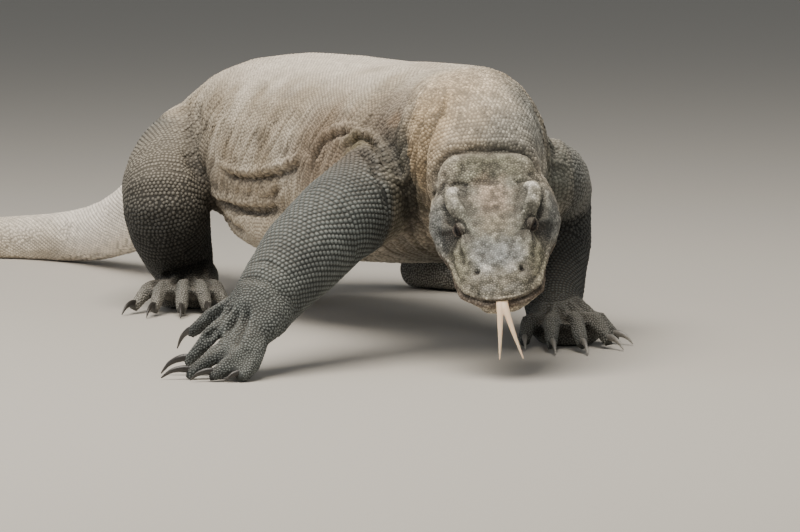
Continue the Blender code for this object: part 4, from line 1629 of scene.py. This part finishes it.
                # on the limbs the paint itself is also lighter on the crowns and darker at the rims: painted
                # highlight and painted shade
                limb_bead_light_and_shade = 1 + limbs * (0.80 * crown - 0.44)
                store(mesh, "paint", np.repeat(paint[chosen], len(bead.crown), axis=0) * limb_bead_light_and_shade[:, None])
                store(mesh, "crown", crown)
                store(mesh, "tone", np.repeat(tone[chosen], len(bead.crown)))
                spots = maps[chosen, None] + bead.corners[:, :2] * self.patch
                layer = mesh.uv_layers.new(name="OFBake")
                layer.data.foreach_set("uv", spots.reshape(-1, 2)[faces.ravel()].ravel())
                piece = add_object(f"{name}_scales_{part + 1}", mesh)
                ride_root(piece, "slate_hide" if name.endswith(("arm", "leg")) else "sand_hide")
                self.pieces.append(piece)

    def groups(self) -> dict[tuple[int, ...], str]:
        """Group the skin's parts into the regions whose scales are joined.

        Returns:
            The parts' numbers and the region's name.
        """
        words = {
            "head": ("head", "lower_jaw"),
            "neck": ("neck",),
            "right_arm": ("right_upper_arm", "right_forearm", "right_hand"),
            "left_arm": ("left_upper_arm", "left_forearm", "left_hand"),
            "right_leg": ("right_thigh", "right_shank", "right_foot"),
            "left_leg": ("left_thigh", "left_shank", "left_foot"),
            "tail": ("tail",),
        }
        regions = {}
        for number, part in enumerate(self.zone_names):
            region = next((name for name, starts in words.items() if str(part).startswith(starts)), "trunk")
            regions.setdefault(region, []).append(number)
        return {tuple(numbers): name for name, numbers in regions.items()}


@dataclass
class SkinMap:
    """An unwrap of the skin's own shape, on which every scale has its patch.

    Attributes:
        hide: The skin.
    """

    hide: Hide

    def places(self, roots: Array) -> Array:
        """Find the scales' places on the unwrap.

        Args:
            roots: The scales' places on the skin.

        Returns:
            Two map coordinates for each.
        """
        copy = add_object("map", self.hide.skin.data.copy())
        finish_modifier(copy, "DECIMATE", ratio=0.06)
        with editing(copy):
            bpy.ops.uv.smart_project(angle_limit=math.radians(70), island_margin=0.004)
        mesh = copy.data
        mesh.calc_loop_triangles()
        corners = [vertex.co.copy() for vertex in mesh.vertices]
        triangles = [triangle.vertices[:] for triangle in mesh.loop_triangles]
        layer = mesh.uv_layers.active.data
        flat = [[Vector((*layer[loop].uv, 0)) for loop in triangle.loops] for triangle in mesh.loop_triangles]
        tree = BVHTree.FromPolygons(corners, triangles)
        found = []
        for root in roots:
            place, _, face, _ = tree.find_nearest(Vector(root))
            spot = barycentric_transform(place, *(corners[index] for index in triangles[face]), *flat[face])
            found.append(spot[:2])
        bpy.data.objects.remove(copy)
        return np.clip(np.array(found), 0.002, 0.998)


# ---- eyes, claws and tongue ----
@dataclass(frozen=True)
class WetEye:
    """A living eye under its film of tears: dark, with a hard clear highlight.

    The film gives IOR 1.376 like a cornea and near mirror smoothness, and the iris below it is dark brown.
    """

    pupil: str = "#060505"
    iris: str = "#23160d"
    rim: str = "#0d0a08"

    def build(self) -> Material:
        """Make the eye's material, coloured by the angle from the gaze."""
        material, tree = new_material("wet_eye")
        ring = add_node(tree, "ShaderNodeAttribute", attribute_name="ring")
        ramp = add_node(tree, "ShaderNodeValToRGB", {"Fac": ring.outputs["Fac"]})
        inner, outer = ramp.color_ramp.elements
        inner.position, outer.position = 0.115, 0.32
        inner.color, outer.color = (*linear(self.pupil), 1.0), (*linear(self.rim), 1.0)
        for position in (0.13, 0.25):
            ramp.color_ramp.elements.new(position).color = (*linear(self.iris), 1.0)
        add_surface(tree, {"Base Color": ramp.outputs["Color"], "Roughness": 0.06, "IOR": 1.376})
        return material


@dataclass
class Eye:
    """One eyeball and the opening between its lids.

    Attributes:
        side: Which eye.
        radius: The eyeball's radius.
        slit_length: Half the length of the opening, as an angle at the eyeball's middle.
        slit_up: How far it opens upwards.
        slit_down: How far it opens downwards.
    """

    side: Side
    radius: float = 0.0088
    slit_length: float = 0.64
    slit_up: float = 0.23
    slit_down: float = 0.20

    def centre(self) -> Vector:
        """The eyeball's middle."""
        return HEAD @ Vector((0.0382 * self.side.value, -0.0938, 0.0162))

    def gap(self, places: Array) -> Array:
        """The distances of places from the eyeball's middle."""
        return lengths(places - np.array(self.centre()))

    def axes(self) -> tuple[Vector, Vector, Vector]:
        """The gaze, the line from corner to corner of the lids, and the way up between them."""
        turn = HEAD.to_3x3()
        gaze = (turn @ Vector((0.74 * self.side.value, -0.54, 0.42))).normalized()
        along = turn @ Vector((0.0, -1.0, -0.10))
        along = (along - along.dot(gaze) * gaze).normalized()
        up = gaze.cross(along)
        if (turn @ Vector((0, 0, 1))).dot(up) < 0:
            up.negate()
        return gaze, along, up

    def outside(self, across: Array, rise: Array) -> Array:
        """Measure how far places lie outside the opening between the lids.

        Args:
            across: Their angles from the gaze towards the corners of the lids.
            rise: Their angles from the gaze upwards.

        Returns:
            The angle by which the opening would have to grow to reach each place.
        """
        height = np.where(rise > 0, self.slit_up, self.slit_down)
        low, high = np.full(len(across), -0.15), np.full(len(across), 1.8)
        for _ in range(20):
            grown = (low + high) / 2
            reached = (across / (self.slit_length + grown)) ** 2 + (rise / (height + grown)) ** 2 < 1
            low, high = np.where(reached, low, grown), np.where(reached, grown, high)
        return high

    def build(self, material: Material) -> Object:
        """Model the eyeball with the swelling of its cornea.

        Args:
            material: The wet eye.

        Returns:
            The finished eyeball.
        """
        clear_selection()
        bpy.ops.mesh.primitive_uv_sphere_add(segments=64, ring_count=40, radius=1.0)
        ball = bpy.context.object
        bpy.ops.object.shade_smooth()
        points = np.array([vertex.co for vertex in ball.data.vertices])
        turn = np.arccos(np.clip(points[:, 2], -1, 1))
        reach = self.radius * (1 + 0.035 * np.exp(-((turn / 0.50) ** 2)))
        gaze, along, _ = map(np.array, self.axes())
        made = points[:, :1] * along + points[:, 1:2] * np.cross(gaze, along) + points[:, 2:] * gaze
        made *= reach[:, None]
        ball.data.vertices.foreach_set("co", (made + np.array(self.centre())).ravel())
        ball.data.update()
        name = self.side.name.lower()
        ball.name = f"{name}_eyeball"
        store(ball.data, "ring", turn / math.pi)
        ball.data.materials.append(material)
        ride_root(ball, "eye", f"{name}_eye")
        return ball


@dataclass
class Eyelids:
    """The thin bare lids of one eye, which come out from under the scaled skin and end in a soft rim.

    Attributes:
        eye: The eye that they close round.
        rings: (angle outside the opening, height over the eyeball) from the rim out to under the skin.
        inner: Colour of the wet rim.
        outer: Colour of the bare skin beside it.
    """

    eye: Eye
    rings: tuple[tuple[float, float], ...] = (
        *((-0.035, -0.0007), (-0.010, 0.0003), (0.030, 0.0009), (0.075, 0.0011), (0.120, 0.0008)),
        *((0.165, 0.0011), (0.220, 0.0009), (0.300, 0.0011), (0.390, 0.0011), (0.470, 0.0008)),
        *((0.550, 0.0002), (0.620, -0.0012)),
    )
    inner: str = "#140e0b"
    outer: str = "#2b1f19"

    def build(self, hide: Hide, colours: Array, material: Material) -> Object:
        """Model the lids as one ring of skin, tucked under the hide all round.

        Args:
            hide: The skin round the eye.
            colours: Its markings and painted shade, point by point.
            material: The scaled hide.

        Returns:
            The finished lids.
        """
        gaze, along, up = self.eye.axes()
        rays = 72
        corners, paints = [], []
        inner, outer = linear(self.inner), linear(self.outer)
        for grown, height in self.rings:
            for ray in range(rays):
                turn = 2 * math.pi * ray / rays
                half = self.eye.slit_up if math.sin(turn) > 0 else self.eye.slit_down
                across = (self.eye.slit_length + grown) * math.cos(turn)
                rise = (half + grown) * math.sin(turn)
                angle = math.hypot(across, rise)
                sideways = (along * across + up * rise) * (math.sin(angle) / max(angle, 1e-6))
                way = gaze * math.cos(angle) + sideways
                place = self.eye.centre() + way * (self.eye.radius + height)
                corners.append(place)
                face = hide.tree.find_nearest(place)[2]
                skin = colours[list(hide.skin.data.polygons[face].vertices)].mean(0)
                mixed = inner + (outer - inner) * float(ease(np.array(grown), 0.0, 0.10))
                paints.append(mixed + (0.8 * skin - mixed) * float(ease(np.array(grown), 0.14, 0.36)))
        faces = []
        for start in range(0, len(corners) - rays, rays):
            for ray in range(rays):
                one, other = start + ray, start + (ray + 1) % rays
                faces.append((one, other, other + rays, one + rays))
        mesh = bpy.data.meshes.new("lids")
        mesh.from_pydata(corners, [], faces)
        lids = add_object(f"{self.eye.side.name.lower()}_eyelids", mesh)
        first = mesh.polygons[0]
        if first.normal.dot(first.center - self.eye.centre()) < 0:
            mesh.flip_normals()
        mesh.shade_smooth()
        store(mesh, "paint", np.array(paints))
        store(mesh, "crown", np.full(len(corners), 0.25))
        store(mesh, "tone", np.ones(len(corners)))
        mesh.materials.append(material)
        ride_root(lids, "sand_hide")
        return lids


@dataclass(frozen=True)
class Horn:
    """Keratin of a claw: worn smooth, so satin, darkest at the root and paler at the rubbed point."""

    root: str = "#191817"
    point: str = "#45413c"

    def build(self, name: str) -> Material:
        """Make the horn, streaked along the claw.

        Args:
            name: The material's name.

        Returns:
            The material.
        """
        material, tree = new_material(name)
        place = add_node(tree, "ShaderNodeTexCoord").outputs["Object"]
        reach = add_node(tree, "ShaderNodeAttribute", attribute_name="reach").outputs["Fac"]
        fine = {"Vector": place, "Scale": 420.0, "Detail": 3.0}
        streaks = add_node(tree, "ShaderNodeTexNoise", fine).outputs["Fac"]
        mixed = add_node(tree, "ShaderNodeMath", {0: streaks, 1: reach}, operation="MULTIPLY").outputs[0]
        colours = {0: mixed, 6: (*linear(self.root), 1.0), 7: (*linear(self.point), 1.0)}
        colour = add_node(tree, "ShaderNodeMix", colours, data_type="RGBA").outputs[2]
        bump = add_node(tree, "ShaderNodeBump", {"Strength": 0.25, "Distance": 0.0002, "Height": streaks})
        satin = {"Base Color": colour, "Roughness": 0.34, "IOR": 1.54, "Normal": bump.outputs["Normal"]}
        add_surface(tree, satin)
        return material


@dataclass(frozen=True)
class MoistSkin:
    """The tongue's skin: wet, so nearly smooth, with light passing a little way into it."""

    colour: str = "#e6cbaa"

    def build(self) -> Material:
        """Make the tongue's material."""
        material, tree = new_material("moist_tongue")
        wet = {"Base Color": (*linear(self.colour), 1.0), "Roughness": 0.30, "IOR": 1.40}
        add_surface(tree, wet | {"Subsurface Weight": 0.15, "Subsurface Scale": 0.002})
        return material


@dataclass
class TaperedRod:
    """A curved rod that narrows along its length, such as a claw or half of a forked tongue.

    Attributes:
        path: Places along its middle.
        radii: Its radius at each place.
        flatten: How tall it is against its width, and along which direction.
    """

    path: list[Vector]
    radii: tuple[float, ...]
    flatten: tuple[float, Vector]

    def build(self, name: str) -> Object:
        """Model the rod as a bevelled curve and make it a mesh.

        Args:
            name: The piece's name.

        Returns:
            The rod, with its ends rounded shut.
        """
        curve = bpy.data.curves.new(name, "CURVE")
        curve.dimensions = "3D"
        curve.bevel_depth = 1.0
        curve.bevel_resolution = 5
        curve.use_fill_caps = True
        points = spline(self.path, 8)
        line = curve.splines.new("POLY")
        line.points.add(len(points) - 1)
        marks = range(len(self.radii))
        radii = np.interp(np.linspace(0, marks[-1], len(points)), marks, self.radii)
        for spot, place, radius in zip(line.points, points, radii):
            spot.co = (*place, 1.0)
            spot.radius = float(radius)
        rod = add_object(name, curve)
        activate(rod)
        bpy.ops.object.convert(target="MESH")
        self.squeeze(rod, points)
        with editing(rod):
            bpy.ops.mesh.remove_doubles(threshold=0.00002)
            bpy.ops.mesh.normals_make_consistent(inside=False)
        bpy.ops.object.shade_smooth()
        return rod

    def squeeze(self, rod: Object, points: list[Vector]) -> None:
        """Flatten the rod across one direction, about its own middle line.

        Args:
            rod: The mesh.
            points: The middle line.
        """
        share, across = self.flatten
        tree = KDTree(len(points))
        for index, place in enumerate(points):
            tree.insert(place, index)
        tree.balance()
        for vertex in rod.data.vertices:
            middle = tree.find(vertex.co)[0]
            vertex.co -= (1 - share) * (vertex.co - middle).dot(across) * across


@dataclass
class Claws:
    """The twenty claws: hooked, flat-sided horn, set a few millimetres into the digits.

    Attributes:
        dark: The horn of most claws.
        pale: The dusty horn of the hand that stands flat on the ground.
        hook: How far the back of a claw arches over its chord, as a share of its length.
        back: (share of the way from root to point, share of that arch) at two places between.
        radii: Its radius at the root, at those places and at the point.
        flat: Its width against its height.
    """

    dark: Material
    pale: Material
    hook: float = 0.16
    back: tuple[tuple[float, float], ...] = ((0.34, 0.80), (0.68, 0.85))
    radii: tuple[float, ...] = (0.0046, 0.0042, 0.0027, 0.0006)
    flat: float = 0.78

    def build(self) -> None:
        """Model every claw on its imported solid's own line."""
        for node, root, point in sorted(claw_lines(), key=lambda line: line[0]):
            along = point - root
            level = along.cross(Vector((0, 0, 1))).normalized()
            over = level.cross(along).normalized()
            arch = self.hook * along.length
            back = [root.lerp(point, share) + rise * arch * over for share, rise in self.back]
            rod = TaperedRod([root, *back, point], self.radii, (self.flat, level))
            claw = rod.build(f"{node}_horn")
            points = np.array([vertex.co for vertex in claw.data.vertices])
            reach = (points - np.array(root)) @ np.array(along) / along.length_squared
            store(claw.data, "reach", np.clip(0.35 + 1.3 * reach, 0, 1.6))
            claw.data.materials.append(self.pale if node.startswith("left_hand") else self.dark)
            ride_root(claw, "claw", node)


@dataclass
class Tongue:
    """The forked tongue, flat and limp, hanging from the front of the mouth.

    Attributes:
        tips: The places of its two points, the animal's right one first.
        spread: Half the distance between the middles of its two halves.
        flat: How thick it is against its width.
        radii: Half the width of each half, from inside the mouth to its point.
    """

    tips: Path = ((-0.092, -1.047, 0.027), (-0.069, -1.060, 0.028))
    spread: float = 0.0030
    flat: float = 0.45
    radii: tuple[float, ...] = (0.0045, 0.0045, 0.0042, 0.0026, 0.0008)

    def build(self, material: Material) -> Object:
        """Model both halves and melt them together where they touch.

        Args:
            material: The moist skin.

        Returns:
            The finished tongue.
        """
        halves = []
        up = (HEAD.to_3x3() @ Vector((0, 0.15, 1))).normalized()
        for side, tip in zip((-1, 1), self.tips):
            across = side * self.spread
            inside = ((across, -0.150, -0.0100), (across, -0.185, -0.0040), (across, -0.2015, -0.0050))
            base = [Vector(place) for place in in_head(*inside)]
            middle = base[-1].lerp(Vector(tip), 0.45) + HEAD.to_3x3() @ Vector((0, -0.004, 0))
            rod = TaperedRod([*base, middle, Vector(tip)], self.radii, (self.flat, up))
            halves.append(rod.build("tongue_half"))
        tongue = join(halves)
        tongue.name = "forked_tongue"
        finish_modifier(tongue, "REMESH", mode="VOXEL", voxel_size=0.0007, use_smooth_shade=True)
        clay = Clay(tongue)
        clay.smooth(4)
        clay.write()
        tongue.data.materials.clear()
        tongue.data.materials.append(material)
        ride_root(tongue, "tongue", "tongue")
        return tongue


# ---- studio ----
@dataclass
class Studio:
    """A plain pale floor under soft light, and the camera.

    Attributes:
        floor: The floor's colour.
        place: Where the camera stands.
        pitch: How far it looks down, in degrees.
        heading: Its turn about the vertical, in degrees.
    """

    floor: str = "#b9b4ab"
    place: Place = (-2.438, -5.405, 0.600)
    pitch: float = 5.398
    heading: float = -27.0

    def build(self) -> None:
        """Lay the floor, hang the lights and place the camera."""
        clear_selection()
        bpy.ops.mesh.primitive_plane_add(size=160.0, location=(0, 0, 0))
        ground = bpy.context.object
        ground.name = "studio_floor"
        ground.data.materials.append(self.matt_floor())
        lights = [
            self.light("overhead", (-1.1, -1.1, 3.4), (0.0, -0.1, 0.1), 2.8, 235.0, "#fff8ee"),
            self.light("side_fill", (-4.2, 0.4, 1.9), (0.0, -0.3, 0.2), 2.4, 40.0, "#eef3ff"),
            self.light("front_fill", (1.6, -4.6, 2.2), (0.0, -0.5, 0.2), 2.4, 20.0, "#ffffff"),
        ]
        world = bpy.data.worlds.new("soft_world")
        world.use_nodes = True
        sky = world.node_tree.nodes["Background"].inputs
        sky["Color"].default_value = (*linear("#dfe3e6"), 1.0)
        sky["Strength"].default_value = 0.30
        bpy.context.scene.world = world
        lens = bpy.data.cameras.new("camera")
        lens.lens, lens.sensor_width, lens.clip_end = 200.0, 36.0, 400.0
        camera = add_object("camera", lens)
        camera.location = self.place
        camera.rotation_euler = (math.radians(90 - self.pitch), 0.0, math.radians(self.heading))
        bpy.context.scene.camera = camera

    def light(
        self, name: str, place: Place, target: Place, size: float, power: float, colour: str
    ) -> Object:
        """Hang one soft square light.

        Args:
            name: The light's name.
            place: Where it hangs.
            target: Where it points.
            size: The length of its side.
            power: Its power in watts.
            colour: Its colour, sRGB hex.

        Returns:
            The light.
        """
        data = bpy.data.lights.new(name, "AREA")
        data.shape, data.size, data.energy, data.color = "SQUARE", size, power, linear(colour)
        lamp = add_object(name, data)
        lamp.location = place
        lamp.rotation_euler = (Vector(target) - Vector(place)).to_track_quat("-Z", "Y").to_euler()
        return lamp

    def matt_floor(self) -> Material:
        """Painted board: matt, plain and pale, so that only the animal's shadow shows on it."""
        material, tree = new_material("painted_floor")
        add_surface(tree, {"Base Color": (*linear(self.floor), 1.0), "Roughness": 0.9})
        return material


# ---- the whole model ----
def finish_skin(hide: Hide, colours: Array, material: Material) -> None:
    """Paint the skin, thin it where it is smooth, and let it stand for the flesh solids.

    Args:
        hide: The sculpted hide.
        colours: Its markings and painted shade, point by point.
        material: The scaled hide.
    """
    skin = hide.skin
    store(skin.data, "paint", colours)
    # the crown value paints shade on the skin between the scales, deeper on the limbs than on the trunk
    store(skin.data, "crown", BARE_SKIN * (1 - hide.limb_share))
    store(skin.data, "tone", np.ones(len(colours)))
    fine = head_share(hide.clay.places)[1]
    coarse = skin.vertex_groups.new(name="coarse")
    for index in np.flatnonzero(fine < 0.5):
        coarse.add([int(index)], 1.0, "REPLACE")
    triangles = sum(len(polygon.vertices) - 2 for polygon in skin.data.polygons)
    ratio = (hide.limit - 2_000) / triangles  # a little below the limit, as the count comes out uneven
    finish_modifier(skin, "DECIMATE", ratio=ratio, vertex_group="coarse", vertex_group_factor=1.0)
    skin.vertex_groups.clear()
    skin.data.materials.append(material)
    skin.data.shade_smooth()
    ride_root(skin, "sand_hide", *hide.nodes)
    log.info("skin has %d faces", len(skin.data.polygons))


def main() -> None:
    """Build the whole model."""
    logging.basicConfig(level=logging.INFO, format="%(name)s: %(message)s")
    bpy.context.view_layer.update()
    hide = Hide()
    colours = HidePaint(hide).colours
    scaled = ScaledHide().build()
    coat = Coat(hide, colours)
    for piece in coat.pieces:
        piece.data.materials.append(scaled)
    wet = WetEye().build()
    for side in Side:
        Eye(side).build(wet)
        Eyelids(Eye(side)).build(hide, colours, scaled)
    finish_skin(hide, colours, scaled)
    Claws(Horn().build("dark_horn"), Horn("#55524e", "#a39f97").build("pale_horn")).build()
    Tongue().build(MoistSkin().build())
    Studio().build()


if __name__ == "__main__":
    main()
